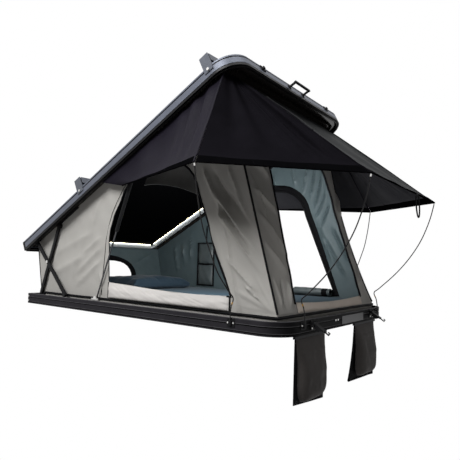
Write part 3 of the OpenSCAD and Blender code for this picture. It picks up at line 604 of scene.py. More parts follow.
right_folds = metres(
    (-750, 520, -720, 300, 12, -9), (-660, 570, -640, 330, 10, -8), (-850, 470, -800, 240, 14, -9),
    (510, 1050, 460, 860, 9, -12), (570, 1040, 530, 820, 8, -12), (630, 980, 570, 750, 9, -13),
    (670, 870, 580, 670, 9, -11), (700, 770, 620, 600, 10, -10), (360, 1100, 400, 930, 10, -10),
    (200, 1020, 240, 920, 10, -8), (650, 530, 820, 260, 12, -10), (590, 660, 710, 340, 12, -9),
    (720, 600, 860, 360, 14, -10))
right_edge = canvas_wall("right_wall", side_cut, side_door, (0.22, 0.48), right_side, right_folds,
                         loose=(0.005, 7.0), lean=(0, 0, 1), band=0.042)

lean_f = atan2(front_x - head_x, head_z - foot)
lean_r = atan2(rear_x - tail_x, tail_z - foot)
lean_front = Vector((-sin(lean_f), 0, cos(lean_f)))
lean_rear = Vector((-sin(lean_r), 0, cos(lean_r)))


def front_face(s, t, w):
    w -= slack(foot + t * cos(lean_f)) * max(0.0, (s - 0.40) / 0.1867) * cos(lean_f)
    return Vector((front_x, s, foot)) + lean_front * t + Vector((cos(lean_f), 0, sin(lean_f))) * w


def rear_face(s, t, w):
    return Vector((rear_x, s, foot)) + lean_rear * t - Vector((cos(lean_r), 0, sin(lean_r))) * w


def end_cut(tall):
    return [(-end_half, 0.0), (end_half, 0.0), (end_half, tall), (-end_half, tall)]


half = metres(
    (415, 44), (345, 780), (338, 850), (322, 910), (292, 965), (245, 1010), (185, 1040), (120, 1052))
front_door = half + [(-s, t) for s, t in reversed(half)] + [(-0.2, 0.034), (0.0, 0.030), (0.2, 0.034)]
front_folds = metres(
    (-555, 720, -500, 480, 12, 10), (-570, 520, -400, 300, 16, 12), (-570, 360, -420, 170, 16, 11),
    (-550, 180, -530, 20, 10, 8), (-440, 150, -455, 10, 10, 9), (-490, 160, -500, 20, 10, -8),
    (-550, 820, -380, 720, 16, 10), (-570, 640, -390, 520, 14, 10), (560, 800, 400, 550, 22, 12),
    (570, 550, 430, 300, 20, 10), (560, 280, 440, 120, 18, 10), (-300, 20, 300, 18, 12, 8))
front_edge = canvas_wall("front_wall", end_cut(1.2637), front_door, (0.0, 0.52), front_face, front_folds,
                         loose=(0.006, 11.0), lean=lean_front)
arch = metres(
    (255, 80), (252, 122), (240, 155), (215, 188), (182, 210), (140, 225), (80, 235), (0, 238))
rear_window = arch + [(-s, t) for s, t in reversed(arch[:-1])]
rear_folds = metres(
    (-500, 300, -300, 200, 16, 6), (500, 300, 300, 200, 16, 6), (-550, 50, 550, 60, 20, 6))
rear_edge = canvas_wall("rear_wall", end_cut(0.3422), rear_window, (0.0, 0.15), rear_face, rear_folds,
                        loose=(0.003, 15.0), lean=lean_rear, band=0.036)


def cut_cloth(columns, rows, lie):
    """A square-woven cut of cloth; lie(u, t) says where each point of it comes to lie."""
    cloth = bmesh.new()
    bmesh.ops.create_grid(cloth, x_segments=columns, y_segments=rows, size=0.5)
    for v in cloth.verts:
        v.co = lie(v.co.x + 0.5, v.co.y + 0.5)
    return cloth


# narrow gore that takes each side wall round to the leaning rear wall
for word, y in (("left", -side_y), ("right", side_y)):
    low, inner, outer = Vector((rear_x, y, foot)), Vector((rear_x, y, rear_z)), Vector((tail_x, y, tail_z))
    gore = cut_cloth(6, 16, lambda u, t: low + ((inner - low) * (1 - u) + (outer - low) * u) * t)
    bmesh.ops.remove_doubles(gore, verts=gore.verts, dist=0.0002)
    corner = made_of(word + "_rear_gore", gore, canvas_out, canvas_in)
    faced(corner, Vector((0, y, 0)))
    layered(corner, thick, lining=1)
    sewn_on(corner, lean_rear, low - lean_rear * stowed)

# tapes round the openings, piping down the corners and along the foot
with_sides = (0, 0, 1), Vector((0, 0, foot - stowed))
with_front = lean_front, front_face(0, 0, 0) - lean_front * stowed
with_rear = lean_rear, rear_face(0, 0, 0) - lean_rear * stowed


def taped(name, path, radius, way, paint=tape_black, closed=False):
    sewn_on(corded(name, path, radius, paint, closed), *way)


def from_gap(ring):
    """An open run of points, turned so that it starts behind its widest gap."""
    start = max(range(len(ring)), key=lambda k: (ring[k] - ring[k - 1]).length)
    return ring[start:] + ring[:start]


for word, edge, brim, radii, hem_paint in (("left", left_edge, 0.1865, (0.0055, 0.003, 0.004), canvas_out),
                                           ("right", right_edge, 0.1822, (0.011, 0.011, 0.011), tape_black)):
    ring = from_gap([p for p in edge if p.z > brim or p.x > 0.70])
    front = sorted((p for p in ring if p.x > 0.30), key=lambda p: p.z if p.x > 0.34 else 9 - p.x)
    rear = sorted((p for p in ring if p.x < 0.31), key=lambda p: (p.x > -0.1, p.z if p.x < -0.1 else p.x))
    sill = sorted((p for p in edge if p.z < brim + 0.0005), key=lambda p: p.x)
    taped(word + "_door_front_tape", front, radii[0], with_sides)
    taped(word + "_door_rear_tape", rear, radii[1], with_sides)
    taped(word + "_door_sill_hem", sill, radii[2], with_sides, hem_paint)
sides = from_gap([p for p in front_edge if p.z >= front_face(0, 0.0435, 0).z])
sill = sorted((p for p in front_edge if p.z < front_face(0, 0.046, 0).z), key=lambda p: p.y)
taped("front_door_tape", sides, 0.0065, with_front)
taped("front_door_sill_hem", sill, 0.004, with_front, canvas_out)
taped("rear_window_tape", rear_edge, 0.011, with_rear, closed=True)
zip_path = metres(
    (-300, 104), (-297, 200), (-287, 320), (-278, 450), (-256, 540), (-226, 620), (-183, 690), (-130, 762),
    (-60, 835), (0, 880), (80, 925), (170, 945))
zip_line = [left_side(s, t, 0.0015 + ridge(s, t, left_folds)) for s, t in zip_path]
taped("left_zip", zip_line, 0.0015, with_sides)
for word, y in (("left", -side_y), ("right", side_y)):
    front_low, front_high = Vector((front_x, y, foot)), Vector((head_x, y, head_z))
    rear_low, rear_high = Vector((rear_x, y, foot)), Vector((tail_x, y, tail_z))
    seam = [front_low.lerp(front_high, k / 40) for k in range(41)]
    seam = [p - Vector(((y > 0) * slack(p.z), 0, 0)) for p in seam]
    taped(word + "_corner_piping", seam, 0.0055, with_sides)
    taped(word + "_rear_piping", [rear_low.lerp(rear_high, k / 10) for k in range(11)], 0.004, with_rear)
foot_line = [(-1.003, -0.592), (1.007, -0.592), (1.007, 0.592), (-1.005, 0.592), (-1.005, -0.592)]
foot_path = []
for (a, b), (c, d) in zip(foot_line, foot_line[1:]):
    for k in range(30):
        x, y = a + (c - a) * k / 30, b + (d - b) * k / 30
        foot_path.append((x, y, 0.0805 + 0.003 * noise((x * 5, y * 5, 3))))
taped("foot_piping", foot_path, 0.0075, with_sides, closed=True)

# loose covers are drawn over the left and front sills, in lit and shaded copies of the wall canvas: painted
# light and painted shade


def sill_cover(name, paint, grid, run, low, top, full, ripples, place, way):
    """A cover along a sill, from low up to top(s), that bulges by full between its ends."""
    start, length = run

    def lie(u, t):
        s = start + length * u
        wave = sum(deep * noise((s * fine + t * skew, t * slow, seed))
                   for deep, fine, skew, slow, seed in ripples)
        out = 0.004 + full * sin(pi * t ** 0.5) ** 0.8 * min(1.0, u * 14, (1 - u) * 14) ** 0.5
        return place(s, low + (top(s) - low) * t, out + wave * sin(pi * t))

    cover = made_of(name, cut_cloth(*grid, lie), paint)
    layered(cover, thick, offset=0)
    sewn_on(cover, *way)


def left_brim(x):
    return 0.1585 + 0.0265 * max(0.0, (0.42 - x) / 0.65) ** 1.5 + 0.006 * max(0.0, (x - 0.55) / 0.18)


def front_brim(y):
    return 0.033 + 0.012 * (y / 0.4) ** 2


# painted light: a lighter copy of the wall canvas for the left sill; the front sill takes a warmer copy as
# painted shade
sill_canvas_lit = woven("sill_canvas_lit", (0.50, 0.482, 0.465), (0.60, 0.58, 0.56), 0.0020, 0.9, folds=0.11)
shaded_canvas = woven("shaded_canvas", (0.52, 0.460, 0.405), (0.62, 0.555, 0.495), 0.0020, 0.9, folds=0.11)
sill_cover("left_sill_cover", sill_canvas_lit, (120, 20), run=(-0.230, 0.955), low=0.0905, top=left_brim,
           full=0.018, ripples=((0.005, 9, 0, 2.5, 5), (0.003, 26, 6, 1.5, 8)), place=left_side,
           way=with_sides)
for word, x, high in (("rear", -0.231, 0.188), ("front", 0.727, 0.166)):
    line = [left_side(x, 0.091 + (high - 0.091) * k / 12, 0.006) for k in range(13)]
    taped(f"left_sill_{word}_tape", line, 0.0032, with_sides)
sill_cover("front_sill_cover", shaded_canvas, (90, 12), run=(-0.404, 0.808), low=-0.006, top=front_brim,
           full=0.010, ripples=((0.004, 9, 0, 2.5, 6),), place=front_face,
           way=with_front)


# the left door's own flap hangs folded up inside the head of its opening, painted a darker grey than the
# canvas as painted shade
def flap_lie(u, up):
    t = 1 - up
    drop = (0.115 + 0.075 * u) * t
    behind = 0.012 + 0.018 * sin(pi * t) + 0.004 * sin(9 * u + 3 * t)
    return left_side(0.05 + 0.445 * u, 0.905 - 0.10 * (u - 0.42) ** 2 - drop, -behind)


flap_cloth_shaded = woven("flap_cloth_shaded", (0.085, 0.084, 0.082), (0.13, 0.129, 0.126), 0.0020, 0.8)
door_flap = made_of("left_door_flap", cut_cloth(40, 16, flap_lie), flap_cloth_shaded)
layered(door_flap, 0.006)
sewn_on(door_flap, *with_sides)

# Rolled flap and organiser
# The right window's inner flap is rolled up on its sill and tied with a strap. Behind
# it hangs an organiser: two full pockets on a strap, bound in black.
roll_cloth = woven("roll_cloth", (0.062, 0.080, 0.084), (0.125, 0.148, 0.152), 0.0018, 0.42, shine=0.5,
                   folds=0.03)


def joined(name, *obs):
    """One mesh of several parts that are sewn or pressed together."""
    bm = bmesh.new()
    paints = []
    for ob in obs:
        first = len(bm.faces)
        bm.from_mesh(ob.data)
        bm.faces.ensure_lookup_table()
        for f in bm.faces[first:]:
            f.material_index += len(paints)
        paints += ob.data.materials[:]
    one = bpy.data.meshes.new(name)
    bm.to_mesh(one)
    bm.free()
    for paint in paints:
        one.materials.append(paint)
    for ob in obs:
        bpy.data.objects.remove(ob)
    return placed(name, one)


roll_y, roll_z = 0.5587, 0.1395
tie_x = 0.677


def roll_ring(x, radius):
    """Points round the roll at x; radius(a) is how far out the point at turn a lies."""
    turns = [tau * k / 36 for k in range(36)]
    return [(x, roll_y + radius(a) * cos(a), roll_z + radius(a) * sin(a)) for a in turns]


def roll_radius(x, share):
    def radius(a):
        r = (0.0292 - 0.0035 * a / tau) * share
        r += 0.0014 * noise((x * 22, cos(a) * 1.5, sin(a) * 1.5))
        return r - 0.005 * exp(-((x - tie_x) / 0.026) ** 2)
    return radius


near_end = [(0.431, 0.35), (0.431, 0.62), (0.431, 0.80), (0.430, 0.94)]
far_end = [(0.720, 0.94), (0.719, 0.80), (0.719, 0.62), (0.719, 0.35)]
body = [(0.432 + 0.286 * k / 26, 1) for k in range(27)]
roll = bmesh.new()
loops = lofted(roll, [roll_ring(x, roll_radius(x, share)) for x, share in near_end + body + far_end])
roll.faces.new(loops[0])
roll.faces.new(loops[-1])
strap = bmesh.new()
lofted(strap, [roll_ring(tie_x + dx, lambda a: r)
               for dx, r in ((-0.021, 0.0235), (-0.020, 0.0272), (0.020, 0.0272), (0.021, 0.0235))])
window_flap = joined("window_flap", made_of("rolled_flap", roll, roll_cloth),
                     made_of("flap_tie", strap, tape_black))
sewn_on(window_flap, *with_sides, "roll_cloth")
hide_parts("window_roll")


hung_x, hung_half = -0.462, 0.088  # middle of the organiser and half its width


def pocket_lie(across, t):
    """Two pockets, one over the other, each fuller at its foot."""
    u = across * 2 - 1
    part = t * 2 - (t > 0.5)
    crown = max(0.0, sin(pi * min(1.0, part * 1.02 + 0.02))) ** 0.55 * (1 - abs(u) ** 5)
    out = 0.0225 * crown * (1.25 - 0.5 * part) + 0.0012 * sin(u * 8 + t * 21)
    return Vector((hung_x + u * 0.086, 0.578 - out, 0.134 + t * 0.354))


pockets = made_of("organiser_pockets", cut_cloth(28, 64, pocket_lie), roll_cloth)
layered(pockets, 0.003)
border = [(hung_x + side * hung_half, 0.5745, z)
          for side, z in ((-1, 0.132), (1, 0.132), (1, 0.490), (-1, 0.490))]
middle = [(hung_x - hung_half, 0.574, 0.312), (hung_x - 0.038, 0.566, 0.310), (hung_x, 0.563, 0.309),
          (hung_x + 0.042, 0.566, 0.310), (hung_x + hung_half, 0.574, 0.312)]
hanger = [(hung_x, 0.578, 0.488), (hung_x, 0.579, 0.56), (hung_x, 0.581, 0.640)]
organiser = joined("wall_organiser", pockets, corded("organiser_tape", border, 0.0075, tape_black, True),
                   corded("organiser_mid_tape", middle, 0.0055, tape_black),
                   corded("organiser_strap", hanger, 0.005, tape_black))
sewn_on(organiser, *with_sides, "roll_cloth")
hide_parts("organiser")

# Lift arms and gas struts
# Flat steel arms cross in pairs at the rear end and turn on plain bolts; gas struts
# stand between base and roof at mid length. Arms, brackets and tubes are powder coated
# black, the rollers are moulded and the rods of the struts are bright.
powder_black = coated("powder_black", (0.007, 0.007, 0.008), (0.016, 0.016, 0.017), (0.04,),
                      rough=(0.36, 0.24), speck=(0.0016,), bump=(0.3, 0.0004), shine=0.04)
dress(powder_black, "arm_base_brackets", "base_tracks", "rod_brackets", "rear_arms", "front_arms",
      "arm_roof_brackets", "roof_tracks", "strut_tubes", "grab_handle", "latch_keepers", "latch_plates",
      "latch_lever_left", "latch_lever_right")
dress(moulded_black, "upper_rollers", "lower_rollers")
bright_rod = coated("bright_rod", (0.05, 0.05, 0.055), (0.11, 0.11, 0.115), (0.002, (1, 1, 0.1)),
                    rough=(0.14, 0.14), metal=1.0)
dress(bright_rod, "strut_rods")

# Roof shell
# The roof is a sheet in a bent aluminium rail of slate grey with two grooves; the upper
# groove and the lip under the lower one are dark. Under the rail runs a moulded rim of
# gloss black with a rubber seal outside it.
rise = radians(27)
roof_x, roof_z = -0.1655, 0.7854  # where the shut roof's zero point stands when it is open
roof_level = 0.7749               # how far out that point is, measured square to the open roof


def over_base(ink):
    """Height of a point of the roof as it would be with the roof shut."""
    square = (-sin(rise), 0, cos(rise))
    reach_up = ink.node("VectorMath", {"operation": "DOT_PRODUCT"}, {0: ink.place(), 1: square}, out="Value")
    return reach_up - roof_level


slate_anodised, ink, skin = finish("slate_anodised", metal=0.25, shine=0.2)
cloud = ink.grain(0.06)
speck = ink.grain(0.0015)
# the upper groove band and the rail under the lower groove are painted near black
upper_groove_black = ink.between(over_base(ink), 0.1258, 0.1336)
lip = ink.math("LESS_THAN", over_base(ink), 0.0915)
slate_tone = ink.blend(cloud, (0.090, 0.099, 0.124), (0.136, 0.148, 0.184))
lay(ink.blend(ink.math("MAXIMUM", upper_groove_black, lip), slate_tone, (0.003, 0.003, 0.0035)), skin["Base Color"])
lay(0.34 + cloud * 0.14 + speck * 0.04, skin["Roughness"])
lay(ink.bump(speck, 0.03, 0.0002), skin["Normal"])
dress(slate_anodised, "roof_rail", "roof_rear_rail")
slate_plain = coated("slate_plain", (0.076, 0.083, 0.100), (0.116, 0.124, 0.146), (0.05,),
                     rough=(0.34, 0.16), metal=0.25, shine=0.2)
dress(slate_plain, "crossbars", "bar_brackets")
roof_skin = coated("roof_skin", (0.012, 0.012, 0.013), (0.026, 0.026, 0.028), (0.2,), rough=(0.4, 0.25),
                   speck=(0.004, (1, 1, 1), 4), bump=(0.35, 0.0008), shine=0.15)
dress(roof_skin, "roof_panel")
seal_rubber = coated("seal_rubber", (0.006, 0.006, 0.006), (0.014, 0.014, 0.014), (0.006,),
                     rough=(0.6, 0.25), shine=0.08)
dress(seal_rubber, "roof_seal")


def lifted(x, y, z):
    """Where a point of the shut roof stands when the roof is open."""
    return Vector((roof_x + x * cos(rise) - z * sin(rise), y, roof_z + x * sin(rise) + z * cos(rise)))


def plan(x0, x1, wide, bend):
    """Points round the roof: square at the rear, bent at the two front corners."""
    path = [(x0 + (x1 - bend - x0) * k / 40, -wide) for k in range(40)]
    path += [(x1 - bend + bend * sin(a), -wide + bend - bend * cos(a))
             for a in (pi / 2 * k / 16 for k in range(16))]
    path += [(x1, -wide + bend + (wide - bend) * k / 16) for k in range(16)]
    path += [(x, -y) for x, y in reversed(path[1:])]
    return path + [(x0, wide - 2 * wide * k / 24) for k in range(24)]


rim_gloss, ink, skin = finish("rim_gloss", rough=0.2, shine=0.35, Coat_Roughness=0.2)
flow = ink.grain(0.03)
lay(ink.blend(flow, (0.010, 0.0085, 0.0075), (0.022, 0.0185, 0.0155)), skin["Base Color"])
lay(0.16 + flow * 0.12, skin["Roughness"])
lay(0.12 + flow * 0.2, skin["Coat Weight"])
lay(ink.bump(flow, 0.12, 0.002), skin["Normal"])
outer_line = plan(-1.0305, 1.0735, 0.6535, 0.1385)
inner_line = plan(-0.961, 0.945, 0.572, 0.04)
# share of the way in from the outer line, then height at the sides and at the front
rim_profile = [(0.0, 0.1040, 0.1040), (0.0, 0.1003, 0.1003), (0.05, 0.0996, 0.0940), (0.13, 0.0992, 0.0885),
               (0.24, 0.0990, 0.0860), (0.34, 0.0989, 0.0864), (0.43, 0.0988, 0.0905), (0.50, 0.0988, 0.0985),
               (0.58, 0.0989, 0.0992), (0.74, 0.0992, 0.0994), (0.88, 0.1004, 0.1004), (0.96, 0.1040, 0.1040),
               (1.0, 0.1100, 0.1100), (1.0, 0.1340, 0.1340)]
rings = []
for k, side_z, front_z in rim_profile:
    ring = []
    for (a, b), (c, d) in zip(outer_line, inner_line):
        front = max(0.0, min(1.0, (a - 0.95) / 0.10))
        ring.append(lifted(a + (c - a) * k, b + (d - b) * k, side_z + (front_z - side_z) * front))
    rings.append(ring)
rim_bm = bmesh.new()
lofted(rim_bm, rings)
rim = made_of("moulded_rim", rim_bm, rim_gloss)
layered(rim, 0.003, baked=False)
fitted(rim, "roof", "rim_gloss", "roof_rim")

# Headliner, tube frame and light
# A soft black liner covers the roof inside. A frame of aluminium tube with bolted elbows
# hangs under it, with a strip of small lamps along its rear and right sides.
liner_cloth = woven("liner_cloth", (0.0012, 0.0013, 0.0015), (0.003, 0.003, 0.0035), 0.002, 0.9, shine=0.0,
                    folds=0.04)


def liner_lie(along, across):
    u, w = along * 2 - 1, across * 2 - 1
    edge = max(0.0, 1 - max(abs(u), abs(w)) ** 14)
    drop = 0.0135 * edge ** 0.6 + 0.002 * noise((u * 6, w * 4, 2.2)) * edge
    return lifted(-0.008 + u * 0.950, w * 0.568, 0.1340 - drop)


headliner = made_of("headliner_cloth", cut_cloth(70, 44, liner_lie), liner_cloth)
layered(headliner, 0.0004, baked=False)
fitted(headliner, "roof", "liner_cloth", "headliner")
tube_alu = coated("tube_alu", (0.66, 0.68, 0.69), (0.80, 0.82, 0.83), (0.004, (0.05, 1, 1), 4),
                  rough=(0.26, 0.2), metal=0.25, shine=0.6)
dress(tube_alu, "frame_tubes", "tube_elbows")

lamp_strip, ink, skin = finish("lamp_strip", rough=0.35, Emission_Strength=24.0)
lit = ink.math("GREATER_THAN", over_base(ink), 0.1146)
dots = ink.node("TexWave", {"bands_direction": "X"}, {"Vector": ink.place((1, 1, 0)), "Scale": 18.0},
                out="Fac")
lamps = ink.blend(dots, (1.0, 0.84, 0.44), (1.0, 0.90, 0.60))
# painted light: the profile beside the lamp line glows faintly, standing in for highlights on bright metal
lay(ink.blend(lit, (0.024, 0.026, 0.026), lamps), skin["Emission Color"])
lay(ink.blend(lit, (0.62, 0.64, 0.65), (0.9, 0.88, 0.8)), skin["Base Color"])
dress(lamp_strip, "led_strip")

# Awnings
# Light black cloth, with a faint violet sheen painted into its colour, is sewn to the rim and
# stretched out to the rods: a panel along each side, a wide corner gusset and one panel at the front.
# Sides and gussets are cut in three gores each, and the hems are turned over a cord.
# painted sheen: the violet tint in the cloth's colour
awning_cloth = woven("awning_cloth", (0.0046, 0.0040, 0.0066), (0.0115, 0.0100, 0.0160), 0.0016, 0.62,
                     shine=0.04, folds=0.09)
# painted shade: a darker copy of the awning cloth for the corner gussets
gusset_cloth_shaded = woven("gusset_cloth_shaded", (0.0036, 0.0034, 0.0042), (0.0085, 0.0078, 0.0104), 0.0016, 0.66,
                     shine=0.0, folds=0.12)
# painted light and shade: a greener-toned copy of the awning cloth for the front panel
brow_cloth_shading = woven("brow_cloth_shading", (0.0045, 0.0052, 0.0058), (0.0095, 0.0105, 0.0112), 0.0016, 0.6, shine=0.04,
                   folds=0.09)
# painted light: a lighter copy of the awning cloth for its underside, standing in for light from below
awning_under_lit = woven("awning_under_lit", (0.026, 0.026, 0.030), (0.042, 0.042, 0.047), 0.0016, 0.7, shine=0.05)
# painted shade: a blacker copy of the awning cloth for the hem band and its cord, under the fold
hem_black_shaded = woven("hem_black_shaded", (0.0012, 0.0012, 0.0014), (0.003, 0.003, 0.0035), 0.0016, 0.7, shine=0.0)
up_a = lifted(-0.095, -0.637, 0.0756)
up_b = lifted(0.970, -0.600, 0.0995)
up_c = lifted(0.970, -0.500, 0.0995)
hem_rear = Vector((-0.075, -0.640, 0.772))
tip_side = Vector((0.830, -0.993, 0.745))
tip_front = Vector((1.410, -0.522, 0.727))
tuck_from = 0.855  # share of a gusset's width, past which its front edge is tucked up
hem_from = 0.925   # share of a gore's fall where its hem begins


def other_side(p):
    return Vector((p.x, -p.y, p.z))


def awning_gore(name, paint, corners, span, sag, waves, pleats, hand, stands_for=(), tuck=0.0, stow=0.015,
                hang=None):
    """One gore of a panel, from share span[0] to span[1] along its top edge to its hem.

    pleats are how many, how deep and where they fan out; hand 1 mirrors the gore to the
    right. Shut, it would lie stow behind its top edge, along the fall of the gore at hang;
    only that spot is worked out and returned, and nothing moves the gore there.
    """
    a, b, c, d = corners

    def cloth_at(u, t):
        p = a.lerp(b, u).lerp(c.lerp(d, u), t)
        p += Vector(sag) * (4 * u * (1 - u) * sin(pi * t))
        p += Vector(waves) * (sin(pi * u) * 4 * t * (1 - t) * sin(6 * pi * u))
        count, deep, near = pleats
        fan = exp(-((u - near) / 0.14) ** 2) * sin(pi * min(1.0, t * 1.08)) * (1.1 - 0.7 * t)
        lift = deep * fan * sin(tau * count * u)
        lift += 0.004 * noise((u * 7, t * 3, deep * 900)) * sin(pi * t)
        lift += 0.003 * max(0.0, min(1.0, (t - hem_from) / 0.012))
        if tuck and u > tuck_from:
            lift += (tuck * min(1.0, (u - tuck_from) / 0.014) * (1.02 - u) / 0.15
                     * sin(pi * min(1, t * 1.12)) ** 0.7)
        p += Vector(waves).normalized() * lift
        return p if hand < 0 else other_side(p)

    def row(t, start, end):
        return [cloth_at(start + (end - start) * k / 24, t) for k in range(25)]

    cut = bmesh.new()
    bmesh.ops.create_grid(cut, x_segments=48, y_segments=84, size=0.5)
    # the hem band at the foot of the gore takes the painted shade of the hem cloth
    for f in cut.faces:
        f.material_index = 2 if f.calc_center_median().y > 0.435 else 0
    for v in cut.verts:
        v.co = cloth_at(span[0] + (span[1] - span[0]) * (v.co.x + 0.5), v.co.y + 0.5)
    area = sum(f.calc_area() for f in cut.faces)
    gore = made_of(name, cut, paint, awning_under_lit, hem_black_shaded)
    faced(gore, Vector((0, 0, 1)))
    layered(gore, 0.0016, offset=0, lining=1)
    low, high = row(1.0, *span), row(0.0, *span)
    hem = corded(name + "_hem", low, 0.0035, hem_black_shaded)
    hip = [cloth_at(span[1], k / 40) for k in range(41)]
    seam = corded(name + "_seam", hip, 0.0042 if span[1] == 1 else 0.001, paint)
    whole = joined(name, gore, hem, seam)
    hang = hang or span
    fall = sum((p - q for p, q in zip(row(1.0, *hang), row(0.0, *hang))), Vector()).normalized()
    behind_rim = sum(high, Vector()) / len(high) - fall * stow
    fitted(whole, "roof", "awning_cloth", *stands_for)
    wide = max((low[0] - low[-1]).length, (high[0] - high[-1]).length)
    tall = max((p - q).length for p, q in zip(low, high))
    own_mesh(whole)
    return cloth_at, fall, behind_rim


side_corners = up_a, up_b, hem_rear, tip_side
gusset_corners = up_b + Vector((0.004, 0.002, 0)), up_c, tip_side + Vector((0.005, 0.002, 0)), tip_front
thirds = [(k / 3, (k + 1) / 3) for k in range(3)]
for word, hand in (("left", -1), ("right", 1)):
    for k, span in enumerate(thirds):
        awning_gore(f"{word}_side_awning_{k + 1}", awning_cloth, side_corners, span, sag=(0, 0.014, -0.016),
                    waves=(0, -0.009, 0.004), pleats=(9, 0.019, 0.86), hand=hand,
                    stands_for=["awning_side_panels"] if word == "left" and k == 0 else [],
                    stow=0.020, hang=thirds[1] if k == 0 else None)
    for k, span in enumerate(thirds):
        awning_gore(f"{word}_corner_awning_{k + 1}", gusset_cloth_shaded, gusset_corners, span,
                    sag=(-0.016, 0.016, -0.018), waves=(0.005, -0.005, 0.004), pleats=(13, 0.006, 0.8),
                    hand=hand, tuck=0.022, stow=0.015 if k else 0.0)
inset = Vector((0, 0.003, 0))
brow_corners = up_c + inset, other_side(up_c + inset), tip_front + inset, other_side(tip_front + inset)
front_at, fall, brow = awning_gore("front_awning", brow_cloth_shading, brow_corners, (0, 1), sag=(-0.010, 0, -0.024),
                                   waves=(0.003, 0, 0.006), pleats=(12, 0.004, 0.0), hand=-1,
                                   stands_for=["awning_front_panel"])
# carrying straps of the front panel: one lies on the cloth, one hangs from the hem in a loop
lying = [front_at(0.045 + 0.05 * sin(3.0 * k / 16), 0.22 + 0.36 * k / 16) + Vector((0.004, 0, 0.008))
         for k in range(17)]
loop_at = front_at(0.635, 1.0)
hanging = [loop_at + Vector((0.004, 0.030 * sin(a) + 0.03 * (1 - cos(a)) / 2, -0.062 * (1 - cos(a))))
           for a in (tau * k / 28 for k in range(29))]
for name, path in (("front_lying_strap", lying), ("front_strap_loop", hanging)):
    strap = corded(name, path, 0.0042, tape_black)
    fitted(strap, "roof", "awning_cloth")
    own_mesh(strap)
    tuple(fall)
    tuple(brow)

# Awning rods
# Four bent spring steel rods stand in sockets on the base and push the awning corners
# out. Each has a short yellow sleeve near its foot, and ends in a pressed bright ferrule
# that hooks into the cloth.
rod_black, ink, skin = finish("rod_black", metal=0.1, shine=0.1)
highlight_and_wear = ink.grain(0.05, (1, 1, 0.4))
lay(ink.blend(ink.math("POWER", highlight_and_wear, 3.0), (0.010, 0.010, 0.011), (0.05, 0.048, 0.045)), skin["Base Color"])
lay(0.3 + highlight_and_wear * 0.2, skin["Roughness"])
sleeve_yellow = coated("sleeve_yellow", (0.30, 0.15, 0.02), (0.45, 0.25, 0.03), (0.004,),
                       rough=(0.4, 0.2), shine=0.4)


def bent(points, steps=8):
    """Smooth bends through the points of a rod, as it leaves the bending jig."""
    pts = [points[0] * 2 - points[1]] + points + [points[-1] * 2 - points[-2]]
    path = []
    for p, q, r, s in zip(pts, pts[1:], pts[2:], pts[3:]):
        for k in range(steps):
            t = k / steps
            path.append(0.5 * (2 * q + (r - p) * t + (2 * p - 5 * q + 4 * r - s) * t ** 2
                               + (3 * q - p - 3 * r + s) * t ** 3))
    return path + [points[-1]]


# bends of the rods on the left, in millimetres
side_rod = [(784, -658.6, 42), (784, -658.6, 74), (781, -650, 120), (778, -632, 160), (786, -690, 206),
            (801, -789, 294), (813, -873, 414), (820, -922, 500), (826, -963, 620), (830, -990, 738)]
front_rod = [(1083.6, -474, 42), (1083.6, -474, 80), (1076, -473, 125), (1063, -471, 165), (1098, -474, 197),
             (1195, -484, 291), (1275, -494, 390), (1339, -504, 498), (1384, -514, 616), (1409, -522, 719)]
for word, points, also in (("left", side_rod, ["awning_clips"]), ("front_left", front_rod, []),
                           ("right", side_rod, []), ("front_right", front_rod, [])):
    turn = other_side if word.endswith("right") else Vector
    path = [turn(p) for p in bent([Vector(p) / 1000 for p in points])]
    along = (path[-1] - path[-3]).normalized()
    tip = [path[-1] - along * 0.006, path[-1] + along * 0.005]
    rod = joined(word + "_awning_rod", corded(word + "_rod_wire", path, 0.003, rod_black),
                 corded(word + "_rod_sleeve", path[18:21], 0.0036, sleeve_yellow),
                 corded(word + "_rod_ferrule", tip, 0.0040, zinc_steel))
    fitted(rod, "base", "spring_rod", "awning_rod_" + word, *also)
    (path[-1] - path[0]).normalized()
    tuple(path[0])
    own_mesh(rod)

# Latches and badge plate
# Two draw latches on the front rail pull the roof shut over the keepers; they are powder
# coated with the arms. The plate between them is plain brushed metal, left bare.
plate_grey = coated("plate_grey", (0.030, 0.030, 0.032), (0.055, 0.055, 0.058), (0.004, (1, 0.05, 1), 4),
                    rough=(0.32, 0.2), metal=0.3, shine=0.2)
dress(plate_grey, "badge_plate")

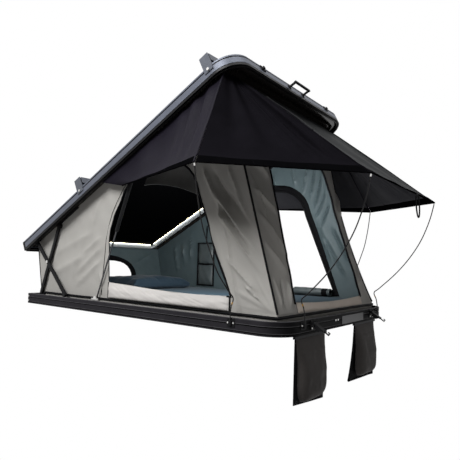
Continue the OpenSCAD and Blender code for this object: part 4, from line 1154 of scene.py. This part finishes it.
# Boot bags
# Two shoe bags hang from tracks under the front rail: a black back panel with a grey
# pocket sewn over it, rounded below, and a black plastic eyelet at each bottom corner.
bag_back = woven("bag_back", (0.0025, 0.0025, 0.003), (0.006, 0.006, 0.0065), 0.0016, 0.75, shine=0.03)
bag_front = woven("bag_front", (0.024, 0.0215, 0.0205), (0.044, 0.040, 0.0385), 0.0016, 0.7, shine=0.1,
                  folds=0.03)
bag_x, bag_half = 1.0665, 0.148   # plane of the back panels and half their width
bag_top, bag_drop = 0.007, 0.332  # how far below the base they begin and how long they hang
for word, middle, twist, curl, swung in (("left", -0.382, 0.0, 0.026, 0.0),
                                         ("right", 0.300, 0.05, 0.004, 0.020)):

    def askew(x, y, z):
        """A point of the bag; its lower left corner is curled up, or swung out behind the pocket."""
        share = (z / (bag_top + bag_drop)) ** 2 * max(0.0, min(1.0, 0.5 - y / bag_half / 2))
        return Vector((x - swung * share, middle + y - swung * share, z + curl * share))

    def back_at(u, t, wave=0.0):
        return askew(bag_x - 0.004 * t + wave, u * bag_half * (1 - 0.03 * t), -bag_top - bag_drop * t)

    def back_lie(across, up):
        u, t = across * 2 - 1, 1 - up
        return back_at(u, t, 0.003 * sin(u * 3 + t * 2 + middle * 9) * t + twist * u * t * 0.15)

    def pouch_lie(across, up):
        u, t = across * 2 - 1, 1 - up
        turn = max(0.0, (t - 0.72) / 0.28)
        half_wide = 0.147 - 0.022 * min(1.0, t / 0.4) - 0.044 * (1 - sqrt(max(0.0, 1 - turn * turn)))
        full = (1 - abs(u) ** 7) ** 0.6 * min(1.0, t / 0.55) ** 0.8 * (1 - t ** 16) ** 0.5
        y, z = u * half_wide, -0.010 - 0.300 * t
        dent = 0.004 * noise((y * 12, z * 12, middle * 7)) + 0.002 * noise((y * 31, z * 24, middle))
        out = 0.044 * full + dent * full + 0.004 * exp(-((t - 0.24) / 0.02) ** 2) * (1 - u * u)
        return Vector((1.0692 + out + twist * y * t * 0.5, middle + y, z))

    panel = made_of(word + "_bag_panel", cut_cloth(24, 28, back_lie), bag_back)
    layered(panel, 0.003)
    pouch = made_of(word + "_bag_pocket", cut_cloth(40, 56, pouch_lie), bag_front)
    layered(pouch, 0.002)
    trim = []
    for end in (-1, 1):
        at = askew(1.0655, end * 0.131, -0.326)
        ring = [at + Vector((0.002, 0.007 * cos(a), 0.007 * sin(a)))
                for a in (tau * k / 20 for k in range(20))]
        trim.append(corded(word + "_bag_eyelet", ring, 0.003, moulded_black, True))
    edge = [back_at(u, t) for u, t in ((-1, 0.02), (-1, 0.5), (-1, 1), (0, 1), (1, 1), (1, 0.5), (1, 0.02))]
    trim.append(corded(word + "_bag_edge", edge, 0.0035, bag_back))
    bag = joined(word + "_boot_bag", panel, pouch, *trim)
    fitted(bag, "bag_" + word, "bag_cloth", "boot_bag_" + word)

# Size
# The box round the finished tent.
bpy.context.view_layer.update()
low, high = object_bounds()
